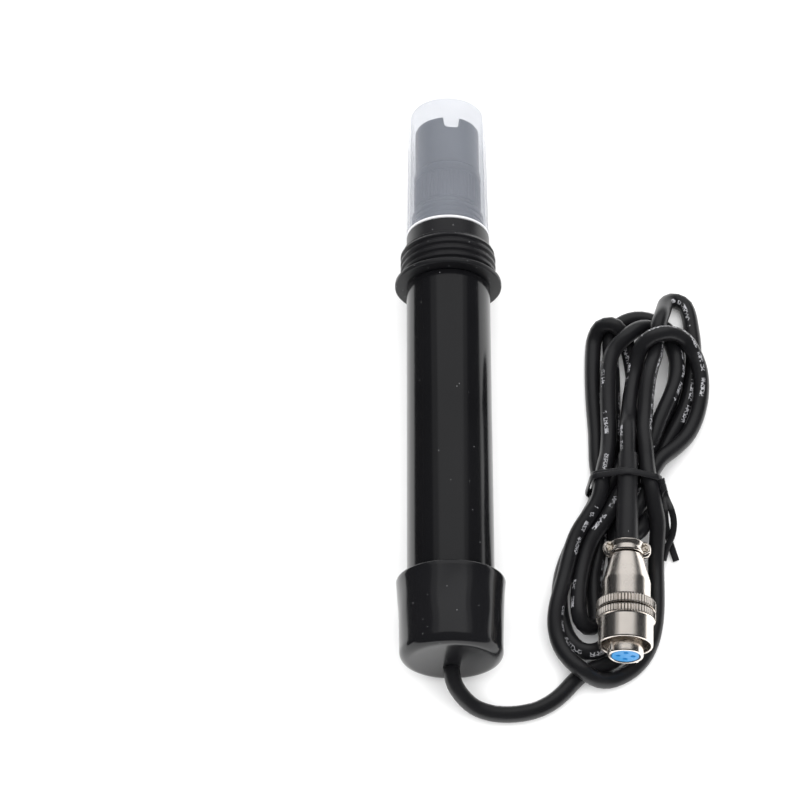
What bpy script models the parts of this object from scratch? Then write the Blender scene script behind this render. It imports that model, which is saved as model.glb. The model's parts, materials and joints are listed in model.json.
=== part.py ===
"""Water quality probe: a dissolved-oxygen electrode on a handle tube, with its storage cap, lead and plug.

Metres, +Z up. The probe lies on its flange with its axis along Y and its sensing end towards +Y.
The origin is on the supporting surface, under the middle of the probe. "Station" means the distance
along the probe from the outer face of the end cap, or along the plug from the rear of its cord clamp.
"""

import math

import bmesh
import bpy

MM = 0.001

# Fits and facets
GAP = 0.3 * MM
CUT_OVER = 2.0 * MM
LARGE_SIDES = 40
SMALL_SIDES = 24
TINY_SIDES = 12

# Handle tube and its end cap
TUBE_RADIUS = 10.8 * MM
TUBE_WALL = 1.8 * MM
TUBE_LENGTH = 102.0 * MM
TUBE_SPIGOT_STEP = 0.8 * MM
TUBE_SPIGOT_LENGTH = 7.8 * MM
END_CAP_LENGTH = 21.3 * MM
END_CAP_WALL = 1.65 * MM
END_CAP_FLARE = 0.75 * MM
END_CAP_FLOOR = 1.8 * MM
END_CAP_CORNER = 2.2 * MM
END_CAP_CROWN = 0.35 * MM

# Head
HEAD_SKIRT_WALL = 1.4 * MM
THREAD_HEIGHT = 0.65 * MM
THREAD_PITCH = 2.0 * MM
THREAD_TURNS = 4
THREAD_RUN_OUT = 0.4 * MM
FLANGE_LIP = 1.45 * MM
FLANGE_THICKNESS = 1.4 * MM
THREAD_LENGTH = 9.1 * MM
SHOULDER_STEP = 0.05 * MM
SHOULDER_LENGTH = 4.5 * MM
SEAL_STEP = 0.65 * MM
SEAL_GROOVE = 0.35 * MM
SEAL_PITCH = 1.5 * MM
SEAL_RIBS = 4
SEAL_LENGTH = 6.5 * MM
NECK_RADIUS = 7.3 * MM
NECK_LENGTH = 5.5 * MM

# Electrode
STEM_RADIUS = 4.3 * MM
STEM_REACH = 7.1 * MM
STEM_COLLAR_RADIUS = 6.6 * MM
STEM_COLLAR_LENGTH = 2.5 * MM
CATHODE_RADIUS = 2.0 * MM
CATHODE_THICKNESS = 0.4 * MM
ANODE_WALL = 1.2 * MM
ANODE_LENGTH = 4.0 * MM
POCKET_RADIUS = 1.5 * MM
POCKET_DEPTH = 17.0 * MM
THERMISTOR_LENGTH = 8.0 * MM

# Membrane cap, its seal ring and its guard
O_RING_SECTION = 1.0 * MM
MEMBRANE_CAP_WALL = 1.05 * MM
MEMBRANE_CAP_THREAD_ROOM = 0.4 * MM
MEMBRANE_CAP_LENGTH = 10.7 * MM
GUARD_STEP = 0.35 * MM
GUARD_WALL = 1.0 * MM
GUARD_LENGTH = 13.4 * MM
GUARD_LIP_BORE = 5.4 * MM
GUARD_LIP_LENGTH = 1.3 * MM
NOTCH_WIDTH = 4.5 * MM
NOTCH_DEPTH = 3.0 * MM
NOTCH_COUNT = 3
NOTCH_TURN = math.radians(8)
MEMBRANE_THICKNESS = 0.3 * MM
MEMBRANE_RING_LENGTH = 1.2 * MM
MEMBRANE_RING_WALL = 2.0 * MM

# Storage cap
STORAGE_LENGTH = 38.9 * MM
STORAGE_WALL = 1.0 * MM
STORAGE_TAPER = 0.8 * MM
STORAGE_END_WALL = 1.2 * MM
STORAGE_CORNER = 1.5 * MM

# Signal board inside the tube
BOARD_START = 38.0 * MM
BOARD_LENGTH = 38.0 * MM
BOARD_THICKNESS = 1.2 * MM
BOARD_SIDE_ROOM = 2.0 * MM
BOARD_DROP = 1.5 * MM
WIRE_DIAMETER = 1.0 * MM
CORE_SPREAD = 0.75 * MM
FINE_WIRE_DIAMETER = 0.8 * MM
POTTING_START = 4.0 * MM
POTTING_LENGTH = 10.0 * MM

# Cord and hank
CORD_DIAMETER = 4.2 * MM
CORD_DROP = 5.0 * MM
CORD_TAIL_END = 22.0 * MM
STOP_START = 16.0 * MM
STOP_LENGTH = 4.0 * MM
STOP_WALL = 1.0 * MM
HANK_LAYERS = 2
HANK_PACKING = 0.1 * MM
HANK_CROSSING_RISE = 4.3 * MM
SLEEVE_WALL = 0.5 * MM
SLEEVE_LENGTH = 25.0 * MM
SLEEVE_TUCK = 5.0 * MM
TIE_WIDTH = 1.8 * MM
TIE_THICKNESS = 0.7 * MM
TIE_Y = -27.6 * MM
TIE_END_RADIUS = 0.8 * MM

# Plug, along its own axis from the rear of the cord clamp
PLUG_X = 43.85 * MM
PLUG_Y = -46.9 * MM
PLUG_TURN = math.radians(-2.7)
CLAMP_LENGTH = 3.1 * MM
CLAMP_WALL = 1.2 * MM
EAR_REACH = 5.7 * MM
EAR_THICKNESS = 1.5 * MM
SCREW_OFFSET = 4.05 * MM
SCREW_RADIUS = 0.7 * MM
SCREW_HEAD_RADIUS = 1.4 * MM
SCREW_HEAD_HEIGHT = 1.0 * MM
BACKSHELL_NECK_END = 10.7 * MM
BACKSHELL_RADIUS = 6.0 * MM
BACKSHELL_WALL = 0.9 * MM
BACKSHELL_LENGTH = 15.8 * MM
SHELL_BAND_LENGTH = 2.5 * MM
RING_RADIUS = 7.35 * MM
RING_BAND_LENGTH = 2.1 * MM
RING_BARREL_STEP = 0.6 * MM
RING_WALL = 0.75 * MM
RING_LENGTH = 8.7 * MM
RING_BORE_LENGTH = 1.8 * MM
SHELL_THREAD_LENGTH = 4.0 * MM
SHELL_CORE_RADIUS = 5.0 * MM
SHELL_NOSE_RADIUS = 4.4 * MM
SHELL_NOSE_REACH = 2.8 * MM
INSERT_RADIUS = 3.4 * MM
INSERT_LENGTH = 6.5 * MM
CONTACT_CIRCLE = 1.85 * MM
CONTACT_HOLE_RADIUS = 0.58 * MM
CONTACT_FRONT_WALL = 1.2 * MM
CONTACT_RADIUS = 0.75 * MM
CONTACT_BORE = 0.42 * MM
CONTACT_LENGTH = 7.5 * MM
CONTACT_COUNT = 4

# Stations along the probe
TUBE_START = END_CAP_FLOOR + GAP + 0.1 * MM
TUBE_SHOULDER = TUBE_START + TUBE_LENGTH
FLANGE_START = TUBE_SHOULDER + GAP
FLANGE_END = FLANGE_START + FLANGE_THICKNESS
SOCKET_END = TUBE_SHOULDER + TUBE_SPIGOT_LENGTH + GAP
THREAD_END = FLANGE_END + THREAD_LENGTH
SHOULDER_END = THREAD_END + SHOULDER_LENGTH
SEAL_END = SHOULDER_END + SEAL_LENGTH
NECK_END = SEAL_END + NECK_LENGTH
O_RING_MIDDLE = SEAL_END + GAP + O_RING_SECTION / 2
MEMBRANE_CAP_START = O_RING_MIDDLE + O_RING_SECTION / 2 + GAP
MEMBRANE_CAP_END = MEMBRANE_CAP_START + MEMBRANE_CAP_LENGTH
GUARD_START = MEMBRANE_CAP_END + GAP
GUARD_END = GUARD_START + GUARD_LENGTH
STEM_END = NECK_END + STEM_REACH
STORAGE_START = SHOULDER_END + GAP
PROBE_LENGTH = STORAGE_START + STORAGE_LENGTH
CORD_EXIT_Y = -PROBE_LENGTH / 2

# Radii that follow from the fits
TUBE_BORE = TUBE_RADIUS - TUBE_WALL
TUBE_SPIGOT_RADIUS = TUBE_RADIUS - TUBE_SPIGOT_STEP
END_CAP_BORE = TUBE_RADIUS + GAP
END_CAP_RADIUS = END_CAP_BORE + END_CAP_WALL
HEAD_SOCKET = TUBE_SPIGOT_RADIUS + GAP
THREAD_ROOT = HEAD_SOCKET + HEAD_SKIRT_WALL
THREAD_CREST = THREAD_ROOT + THREAD_HEIGHT
FLANGE_RADIUS = THREAD_CREST + FLANGE_LIP
AXIS_HEIGHT = max(FLANGE_RADIUS, END_CAP_RADIUS + END_CAP_FLARE)
O_RING_RADIUS = NECK_RADIUS + O_RING_SECTION
MEMBRANE_CAP_BORE = NECK_RADIUS + MEMBRANE_CAP_THREAD_ROOM
MEMBRANE_CAP_RADIUS = MEMBRANE_CAP_BORE + MEMBRANE_CAP_WALL
SEAL_RADIUS = MEMBRANE_CAP_RADIUS + SEAL_STEP
GUARD_RADIUS = MEMBRANE_CAP_RADIUS - GUARD_STEP
GUARD_BORE = GUARD_RADIUS - GUARD_WALL
STORAGE_BORE = SEAL_RADIUS + GAP
SHOULDER_RADIUS = STORAGE_BORE + STORAGE_WALL + SHOULDER_STEP
CORD_RADIUS = CORD_DIAMETER / 2
CORD_HOLE = CORD_RADIUS + GAP
CORD_HEIGHT = AXIS_HEIGHT - CORD_DROP
HANK_HEIGHT = HANK_LAYERS * CORD_DIAMETER - HANK_PACKING
SLEEVE_RADIUS = CORD_HOLE + SLEEVE_WALL
PLUG_HEIGHT = HANK_HEIGHT + GAP + SLEEVE_RADIUS
CLAMP_BORE = SLEEVE_RADIUS + GAP
RING_START = BACKSHELL_LENGTH + GAP + SHELL_BAND_LENGTH + GAP
RING_END = RING_START + RING_LENGTH
SHELL_END = RING_END + SHELL_NOSE_REACH

# The free stretch of the cord: straight out of the end cap, down to the surface, and round to the hank
LEAD_ROUTE = [
    (0.0, CORD_EXIT_Y + 0.35 * MM, CORD_HEIGHT),
    (0.3 * MM, CORD_EXIT_Y - 2.25 * MM, CORD_HEIGHT - 0.4 * MM),
    (1.9 * MM, CORD_EXIT_Y - 5.05 * MM, CORD_HEIGHT - 2.2 * MM),
    (5.4 * MM, CORD_EXIT_Y - 7.55 * MM, CORD_RADIUS + 1.4 * MM),
    (10.2 * MM, CORD_EXIT_Y - 8.95 * MM, CORD_RADIUS + 0.2 * MM),
    (15.6 * MM, CORD_EXIT_Y - 9.05 * MM, CORD_RADIUS),
    (20.8 * MM, -87.4 * MM, CORD_RADIUS),
    (25.4 * MM, -85.3 * MM, CORD_RADIUS),
    (28.2 * MM, -82.7 * MM, CORD_RADIUS),
    (29.9 * MM, -80.3 * MM, CORD_RADIUS),
]
LEAD_STEPS = 24

# The hank seen from above: an upper fan of loops, a tied waist and a long lower loop
WAIST_LEFT = 35.3 * MM
WAIST_RIGHT = 53.8 * MM
WAIST_HALF_LENGTH = 2.2 * MM
HANK_OUTLINE = [
    (WAIST_LEFT, TIE_Y - WAIST_HALF_LENGTH),
    (WAIST_LEFT, TIE_Y + WAIST_HALF_LENGTH),
    (35.4 * MM, -15.0 * MM),
    (35.2 * MM, 2.0 * MM),
    (35.9 * MM, 14.0 * MM),
    (39.6 * MM, 21.2 * MM),
    (49.0 * MM, 23.4 * MM),
    (54.3 * MM, 27.2 * MM),
    (59.0 * MM, 29.5 * MM),
    (63.4 * MM, 25.6 * MM),
    (66.4 * MM, 11.0 * MM),
    (67.3 * MM, -0.5 * MM),
    (64.7 * MM, -9.6 * MM),
    (59.6 * MM, -17.5 * MM),
    (WAIST_RIGHT, TIE_Y + WAIST_HALF_LENGTH),
    (WAIST_RIGHT, TIE_Y - WAIST_HALF_LENGTH),
    (53.6 * MM, -42.0 * MM),
    (53.4 * MM, -58.5 * MM),
    (51.6 * MM, -69.0 * MM),
    (46.0 * MM, -78.6 * MM),
    (37.7 * MM, -82.3 * MM),
    (29.0 * MM, -78.0 * MM),
    (24.8 * MM, -69.5 * MM),
    (24.2 * MM, -62.0 * MM),
    (26.4 * MM, -50.0 * MM),
    (31.6 * MM, -36.5 * MM),
]
HANK_STEP_Y = -19.6 * MM

FINISHES = {
    "tube_plastic": ((0.012, 0.012, 0.013), 0.12, 0.0),
    "cap_vinyl": ((0.014, 0.014, 0.015), 0.22, 0.0),
    "head_plastic": ((0.02, 0.02, 0.021), 0.38, 0.0),
    "storage_plastic": ((0.86, 0.87, 0.88), 0.35, 0.0),
    "sensor_plastic": ((0.06, 0.07, 0.09), 0.4, 0.0),
    "guard_plastic": ((0.09, 0.10, 0.12), 0.4, 0.0),
    "cord_jacket": ((0.016, 0.016, 0.017), 0.42, 0.0),
    "sleeve_plastic": ((0.012, 0.012, 0.012), 0.5, 0.0),
    "tie_plastic": ((0.012, 0.012, 0.012), 0.35, 0.0),
    "plug_nickel": ((0.78, 0.75, 0.71), 0.2, 1.0),
    "screw_steel": ((0.62, 0.61, 0.6), 0.25, 1.0),
    "insert_blue": ((0.1, 0.45, 0.85), 0.4, 0.0),
    "contact_gold": ((0.85, 0.66, 0.3), 0.25, 1.0),
    "electrode_silver": ((0.8, 0.8, 0.78), 0.3, 1.0),
    "seal_rubber": ((0.02, 0.02, 0.02), 0.6, 0.0),
    "membrane_film": ((0.8, 0.8, 0.8), 0.2, 0.0),
    "board_green": ((0.03, 0.2, 0.08), 0.5, 0.0),
    "chip_black": ((0.02, 0.02, 0.02), 0.5, 0.0),
    "potting_resin": ((0.05, 0.05, 0.05), 0.5, 0.0),
    "wire_white": ((0.8, 0.8, 0.78), 0.5, 0.0),
    "wire_red": ((0.6, 0.03, 0.02), 0.5, 0.0),
    "wire_black": ((0.02, 0.02, 0.02), 0.5, 0.0),
    "wire_yellow": ((0.8, 0.6, 0.05), 0.5, 0.0),
}


def clear_scene():
    for old in list(bpy.data.objects):
        bpy.data.objects.remove(old, do_unlink=True)


def new_collection(name):
    made = bpy.data.collections.new(name)
    bpy.context.scene.collection.children.link(made)
    return made


def finish_material(name):
    """The named finish, made the first time that a piece asks for it."""
    found = bpy.data.materials.get(name)
    if found:
        return found
    colour, roughness, metallic = FINISHES[name]
    made = bpy.data.materials.new(name)
    made.use_nodes = True
    shader = made.node_tree.nodes["Principled BSDF"]
    shader.inputs["Base Color"].default_value = (*colour, 1.0)
    shader.inputs["Roughness"].default_value = roughness
    shader.inputs["Metallic"].default_value = metallic
    return made


def place(obj, finish, frame=None):
    """Puts a part in the collection with its finish, on the frame that carries it."""
    PARTS.objects.link(obj)
    obj.data.materials.append(finish_material(finish))
    obj.parent = frame
    return obj


def hide_cutter(obj, frame=None):
    CUTTERS.objects.link(obj)
    obj.hide_render = True
    obj.display_type = "WIRE"
    obj.parent = frame
    return obj


def frame_empty(name, location, rotation):
    made = bpy.data.objects.new(name, None)
    PARTS.objects.link(made)
    made.location = location
    made.rotation_euler = rotation
    return made


def turned_object(name, profile, sides):
    """A profile of (radius, station) points turned about local Z. It runs down its outer side and up its
    bore, and closes on itself unless both its ends are on the axis."""
    mesh = bpy.data.meshes.new(name)
    count = len(profile)
    edges = [(i, i + 1) for i in range(count - 1)]
    if profile[0][0] or profile[-1][0]:
        edges.append((count - 1, 0))
    mesh.from_pydata([(radius, 0, station) for radius, station in profile], edges, [])
    obj = bpy.data.objects.new(name, mesh)
    screw = obj.modifiers.new("turn", "SCREW")
    screw.steps = screw.render_steps = sides
    screw.use_merge_vertices = True
    screw.merge_threshold = 0.00002
    screw.use_smooth_shade = False
    return obj


def turned(name, profile, finish, frame, sides=LARGE_SIDES):
    return place(turned_object(name, profile, sides), finish, frame)


def tube_profile(radius, bore, start, end):
    return [(radius, end), (radius, start), (bore, start), (bore, end)]


def rod_profile(radius, start, end):
    return [(0, end), (radius, end), (radius, start), (0, start)]


def box_mesh(name, low, high):
    mesh = bpy.data.meshes.new(name)
    shape = bmesh.new()
    bmesh.ops.create_cube(shape, size=1.0)
    for vertex in shape.verts:
        vertex.co = [a + (b - a) * (c + 0.5) for a, b, c in zip(low, high, vertex.co)]
    shape.to_mesh(mesh)
    shape.free()
    return mesh


def box(name, low, high, finish, frame=None):
    return place(bpy.data.objects.new(name, box_mesh(name, low, high)), finish, frame)


def box_cutter(name, low, high, frame=None):
    return hide_cutter(bpy.data.objects.new(name, box_mesh(name, low, high)), frame)


def rod_cutter(name, radius, start, end, frame, offset=(0, 0), sides=SMALL_SIDES):
    cutter = hide_cutter(turned_object(name, rod_profile(radius, start, end), sides), frame)
    cutter.location = (*offset, 0)
    return cutter


def combine(obj, other, operation="DIFFERENCE"):
    """Cuts a piece with another, or joins the other to it."""
    boolean = obj.modifiers.new(other.name, "BOOLEAN")
    boolean.operation = operation
    boolean.object = other
    boolean.solver = "EXACT"


def spline_through(points, steps):
    """Points at even parameter steps along the Catmull-Rom curve that passes through the given points."""
    ends = [
        tuple(2 * a - b for a, b in zip(points[0], points[1])),
        tuple(2 * a - b for a, b in zip(points[-1], points[-2])),
    ]
    knots = [ends[0], *points, ends[1]]
    spans = len(points) - 1
    curve = []
    for step in range(steps + 1):
        along = min(step * spans / steps, spans - 1e-9)
        i = int(along)
        t = along - i
        p0, p1, p2, p3 = knots[i : i + 4]
        curve.append(
            tuple(
                0.5 * (2 * b + (c - a) * t + (2 * a - 5 * b + 4 * c - d) * t**2 + (3 * b - a - 3 * c + d) * t**3)
                for a, b, c, d in zip(p0, p1, p2, p3)
            )
        )
    return curve


def round_curve(name, points, radius):
    """A round rod that follows the points, with closed ends."""
    data = bpy.data.curves.new(name, "CURVE")
    data.dimensions = "3D"
    data.bevel_depth = radius
    data.bevel_resolution = 2
    data.use_fill_caps = True
    spline = data.splines.new("POLY")
    spline.points.add(len(points) - 1)
    for point, position in zip(spline.points, points):
        point.co = (*position, 1.0)
    return bpy.data.objects.new(name, data)


def outline_curve(name, points, half_depth, fill):
    """A closed smooth outline in the local XY plane, half_depth either side of it."""
    data = bpy.data.curves.new(name, "CURVE")
    data.dimensions = "2D"
    data.fill_mode = "BOTH" if fill else "NONE"
    data.extrude = half_depth
    data.resolution_u = 3
    spline = data.splines.new("BEZIER")
    spline.bezier_points.add(len(points) - 1)
    for point, position in zip(spline.bezier_points, points):
        point.co = (*position, 0)
        point.handle_left_type = point.handle_right_type = "AUTO"
    spline.use_cyclic_u = True
    return bpy.data.objects.new(name, data)


def made_mesh(curve_object):
    """The curve's surface as a mesh object in its place, with the caps welded on."""
    CUTTERS.objects.link(curve_object)
    bpy.context.view_layer.update()
    graph = bpy.context.evaluated_depsgraph_get()
    mesh = bpy.data.meshes.new_from_object(curve_object.evaluated_get(graph))
    shape = bmesh.new()
    shape.from_mesh(mesh)
    bmesh.ops.remove_doubles(shape, verts=shape.verts, dist=0.00001)
    bmesh.ops.recalc_face_normals(shape, faces=shape.faces)
    shape.to_mesh(mesh)
    shape.free()
    name, matrix = curve_object.name, curve_object.matrix_world.copy()
    bpy.data.objects.remove(curve_object, do_unlink=True)
    made = bpy.data.objects.new(name, mesh)
    made.matrix_world = matrix
    return made


def quarter_arc(centre, radius, start, steps):
    """Points of a quarter circle in (radius, station), turning clockwise from the start angle."""
    angles = [start - math.pi / 2 * i / steps for i in range(steps + 1)]
    return [(centre[0] + radius * math.cos(a), centre[1] + radius * math.sin(a)) for a in angles]


def make_tube_and_cap(axis):
    turned(
        "probe_tube",
        [
            (TUBE_SPIGOT_RADIUS, TUBE_SHOULDER + TUBE_SPIGOT_LENGTH),
            (TUBE_SPIGOT_RADIUS, TUBE_SHOULDER),
            (TUBE_RADIUS, TUBE_SHOULDER),
            (TUBE_RADIUS, TUBE_START),
            (TUBE_BORE, TUBE_START),
            (TUBE_BORE, TUBE_SHOULDER + TUBE_SPIGOT_LENGTH),
        ],
        "tube_plastic",
        axis,
    )
    corner_centre = (END_CAP_RADIUS - END_CAP_CORNER, END_CAP_CROWN + END_CAP_CORNER)
    cap = turned(
        "end_cap",
        [
            (0, END_CAP_FLOOR),
            (END_CAP_BORE, END_CAP_FLOOR),
            (END_CAP_BORE, END_CAP_LENGTH),
            (END_CAP_RADIUS + END_CAP_FLARE, END_CAP_LENGTH),
            (END_CAP_RADIUS + END_CAP_FLARE * 0.8, END_CAP_LENGTH - 1.0 * MM),
            *quarter_arc(corner_centre, END_CAP_CORNER, 0, 4),
            (END_CAP_RADIUS * 0.55, END_CAP_CROWN * 0.3),
            (CORD_DROP - CORD_HOLE - 0.5 * MM, 0),
            (0, 0),
        ],
        "cap_vinyl",
        axis,
    )
    combine(
        cap,
        rod_cutter("end_cap_hole", CORD_HOLE, -CUT_OVER, END_CAP_FLOOR + CUT_OVER, axis, (0, CORD_DROP)),
    )


def thread_profile():
    """The outer thread as level ridges, from the front of the thread back to its run-out at the flange."""
    points = []
    for turn in range(THREAD_TURNS):
        front = THREAD_END - 0.3 * MM - turn * THREAD_PITCH
        points += [
            (THREAD_ROOT, front),
            (THREAD_CREST, front - 0.35 * THREAD_PITCH),
            (THREAD_CREST, front - 0.6 * THREAD_PITCH),
        ]
    return [
        *points,
        (THREAD_ROOT, THREAD_END - 0.3 * MM - THREAD_TURNS * THREAD_PITCH),
        (THREAD_ROOT, FLANGE_END + THREAD_RUN_OUT),
        (THREAD_CREST, FLANGE_END + THREAD_RUN_OUT),
        (THREAD_CREST, FLANGE_END),
    ]


def seal_profile():
    """The ribs that the storage cap grips, from the neck back to the shoulder."""
    points = []
    for rib in range(SEAL_RIBS):
        front = SEAL_END - 0.2 * MM - rib * SEAL_PITCH
        points += [
            (SEAL_RADIUS - SEAL_GROOVE, front),
            (SEAL_RADIUS, front - 0.3 * SEAL_PITCH),
            (SEAL_RADIUS, front - 0.7 * SEAL_PITCH),
        ]
    return [*points, (SEAL_RADIUS - SEAL_GROOVE, SEAL_END - 0.2 * MM - SEAL_RIBS * SEAL_PITCH)]


def make_head(axis):
    stem_bore = STEM_RADIUS + GAP
    turned(
        "head_body",
        [
            (NECK_RADIUS, NECK_END),
            (NECK_RADIUS, SEAL_END),
            (SEAL_RADIUS - SEAL_GROOVE, SEAL_END),
            *seal_profile(),
            (SEAL_RADIUS - SEAL_GROOVE, SHOULDER_END),
            (SHOULDER_RADIUS, SHOULDER_END),
            (SHOULDER_RADIUS, THREAD_END),
            (THREAD_ROOT, THREAD_END),
            *thread_profile(),
            (FLANGE_RADIUS, FLANGE_END),
            (FLANGE_RADIUS, FLANGE_START),
            (HEAD_SOCKET, FLANGE_START),
            (HEAD_SOCKET, SOCKET_END),
            (stem_bore, SOCKET_END),
            (stem_bore, NECK_END),
        ],
        "head_plastic",
        axis,
    )


def make_electrode(axis):
    collar_end = SOCKET_END - GAP
    collar_start = collar_end - STEM_COLLAR_LENGTH
    turned(
        "electrode_stem",
        [
            (0, STEM_END),
            (STEM_RADIUS, STEM_END),
            (STEM_RADIUS, collar_end),
            (STEM_COLLAR_RADIUS, collar_end),
            (STEM_COLLAR_RADIUS, collar_start),
            (POCKET_RADIUS, collar_start),
            (POCKET_RADIUS, collar_start + POCKET_DEPTH),
            (0, collar_start + POCKET_DEPTH),
        ],
        "sensor_plastic",
        axis,
        SMALL_SIDES,
    )
    disc_start = STEM_END + GAP
    turned(
        "cathode_disc",
        rod_profile(CATHODE_RADIUS, disc_start, disc_start + CATHODE_THICKNESS),
        "contact_gold",
        axis,
        SMALL_SIDES,
    )
    anode_bore = STEM_RADIUS + GAP
    anode_start = NECK_END + 1.5 * MM
    turned(
        "anode_ring",
        tube_profile(anode_bore + ANODE_WALL, anode_bore, anode_start, anode_start + ANODE_LENGTH),
        "electrode_silver",
        axis,
        SMALL_SIDES,
    )
    bead_end = collar_start + POCKET_DEPTH - GAP
    turned(
        "thermistor",
        rod_profile(POCKET_RADIUS - GAP, bead_end - THERMISTOR_LENGTH, bead_end),
        "chip_black",
        axis,
        TINY_SIDES,
    )


def make_membrane_cap(axis):
    turned(
        "membrane_o_ring",
        [
            (
                O_RING_RADIUS + O_RING_SECTION / 2 * math.cos(-math.tau * i / 8),
                O_RING_MIDDLE + O_RING_SECTION / 2 * math.sin(-math.tau * i / 8),
            )
            for i in range(8)
        ],
        "seal_rubber",
        axis,
        SMALL_SIDES,
    )
    turned(
        "membrane_cap",
        [
            (MEMBRANE_CAP_RADIUS - 0.3 * MM, MEMBRANE_CAP_END),
            (MEMBRANE_CAP_RADIUS, MEMBRANE_CAP_END - 0.3 * MM),
            (MEMBRANE_CAP_RADIUS, MEMBRANE_CAP_START + 0.3 * MM),
            (MEMBRANE_CAP_RADIUS - 0.3 * MM, MEMBRANE_CAP_START),
            (MEMBRANE_CAP_BORE, MEMBRANE_CAP_START),
            (MEMBRANE_CAP_BORE, MEMBRANE_CAP_END),
        ],
        "sensor_plastic",
        axis,
    )
    membrane_start = STEM_END + 2 * GAP + CATHODE_THICKNESS
    ring_start = membrane_start + MEMBRANE_THICKNESS + GAP
    lip_start = ring_start + MEMBRANE_RING_LENGTH + GAP
    inner_radius = GUARD_BORE - GAP
    turned(
        "membrane_disc",
        rod_profile(inner_radius, membrane_start, membrane_start + MEMBRANE_THICKNESS),
        "membrane_film",
        axis,
        SMALL_SIDES,
    )
    turned(
        "membrane_ring",
        tube_profile(
            inner_radius, inner_radius - MEMBRANE_RING_WALL, ring_start, ring_start + MEMBRANE_RING_LENGTH
        ),
        "guard_plastic",
        axis,
        SMALL_SIDES,
    )
    guard = turned(
        "guard_cage",
        [
            (GUARD_RADIUS, GUARD_END),
            (GUARD_RADIUS, GUARD_START),
            (GUARD_BORE, GUARD_START),
            (GUARD_BORE, lip_start),
            (GUARD_LIP_BORE, lip_start),
            (GUARD_LIP_BORE, lip_start + GUARD_LIP_LENGTH),
            (GUARD_BORE, lip_start + GUARD_LIP_LENGTH),
            (GUARD_BORE, GUARD_END),
        ],
        "guard_plastic",
        axis,
    )
    for i in range(NOTCH_COUNT):
        cutter = box_cutter(
            f"guard_notch_{i + 1}",
            (-NOTCH_WIDTH / 2, GUARD_BORE / 2, GUARD_END - NOTCH_DEPTH),
            (NOTCH_WIDTH / 2, GUARD_RADIUS + CUT_OVER, GUARD_END + CUT_OVER),
            axis,
        )
        cutter.rotation_euler.z = math.pi + NOTCH_TURN + i * math.tau / NOTCH_COUNT
        combine(guard, cutter)


def make_storage_cap(axis):
    end = PROBE_LENGTH
    mouth_radius = STORAGE_BORE + STORAGE_WALL
    tip_radius = mouth_radius - STORAGE_TAPER
    corner_centre = (tip_radius - STORAGE_CORNER, end - STORAGE_CORNER)
    turned(
        "storage_cap",
        [
            (0, end),
            *quarter_arc(corner_centre, STORAGE_CORNER, math.pi / 2, 4),
            (mouth_radius, STORAGE_START),
            (STORAGE_BORE, STORAGE_START),
            (STORAGE_BORE, SEAL_END),
            (tip_radius - STORAGE_WALL, end - STORAGE_END_WALL),
            (0, end - STORAGE_END_WALL),
        ],
        "storage_plastic",
        axis,
    )


def make_board(axis):
    """The amplifier board and its wires. Local Y points down, so a part above the board has lower Y."""
    half_width = TUBE_BORE - BOARD_SIDE_ROOM
    board_end = BOARD_START + BOARD_LENGTH
    top = BOARD_DROP
    box(
        "signal_board",
        (-half_width, top, BOARD_START),
        (half_width, top + BOARD_THICKNESS, board_end),
        "board_green",
        axis,
    )
    seat = top - GAP
    header_depth = 3.0 * MM
    header_half = half_width * 0.6
    box(
        "wire_header",
        (-header_half, seat - header_depth, BOARD_START + GAP),
        (header_half, seat, BOARD_START + 5.0 * MM),
        "wire_white",
        axis,
    )
    box(
        "amplifier_chip",
        (-2.5 * MM, seat - 1.5 * MM, BOARD_START + 12.0 * MM),
        (2.5 * MM, seat, BOARD_START + 18.0 * MM),
        "chip_black",
        axis,
    )
    box(
        "reference_capacitor",
        (-1.7 * MM, seat - 2.4 * MM, BOARD_START + 23.0 * MM),
        (1.7 * MM, seat, BOARD_START + 29.0 * MM),
        "wire_yellow",
        axis,
    )
    header_y = seat - header_depth / 2
    cores = ("wire_red", "wire_black", "wire_white", "wire_yellow")
    for i, finish in enumerate(cores):
        across = (-CORE_SPREAD, CORE_SPREAD)[i > 1]
        down = CORD_DROP + (-CORE_SPREAD, CORE_SPREAD)[i in (1, 2)]
        landing = header_half * (i - 1.5) / 2
        run = CORD_TAIL_END + GAP
        reach = BOARD_START - run
        route = [
            (across, down, run),
            (across, down, run + 0.2 * reach),
            (landing, header_y, run + 0.75 * reach),
            (landing, header_y, BOARD_START),
        ]
        wire = round_curve(f"core_wire_{i + 1}", spline_through(route, 9), WIRE_DIAMETER / 2)
        place(wire, finish, axis)
    collar_start = SOCKET_END - GAP - STEM_COLLAR_LENGTH
    bead_start = collar_start + POCKET_DEPTH - GAP - THERMISTOR_LENGTH
    board_middle = top + BOARD_THICKNESS / 2
    for name, across, down, end, finish in (
        ("cathode_wire", -2.6 * MM, board_middle, collar_start - GAP, "wire_white"),
        ("anode_wire", 2.6 * MM, board_middle, collar_start - GAP, "wire_red"),
        ("thermistor_wire", 0, 0, bead_start - GAP, "wire_black"),
    ):
        run = board_end + GAP
        reach = collar_start - run
        route = [
            (across, board_middle, run),
            (across, board_middle, run + 0.3 * reach),
            (across, down, run + 0.7 * reach),
            (across, down, end),
        ]
        wire = round_curve(name, spline_through(route, 8), FINE_WIRE_DIAMETER / 2)
        place(wire, finish, axis)


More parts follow.
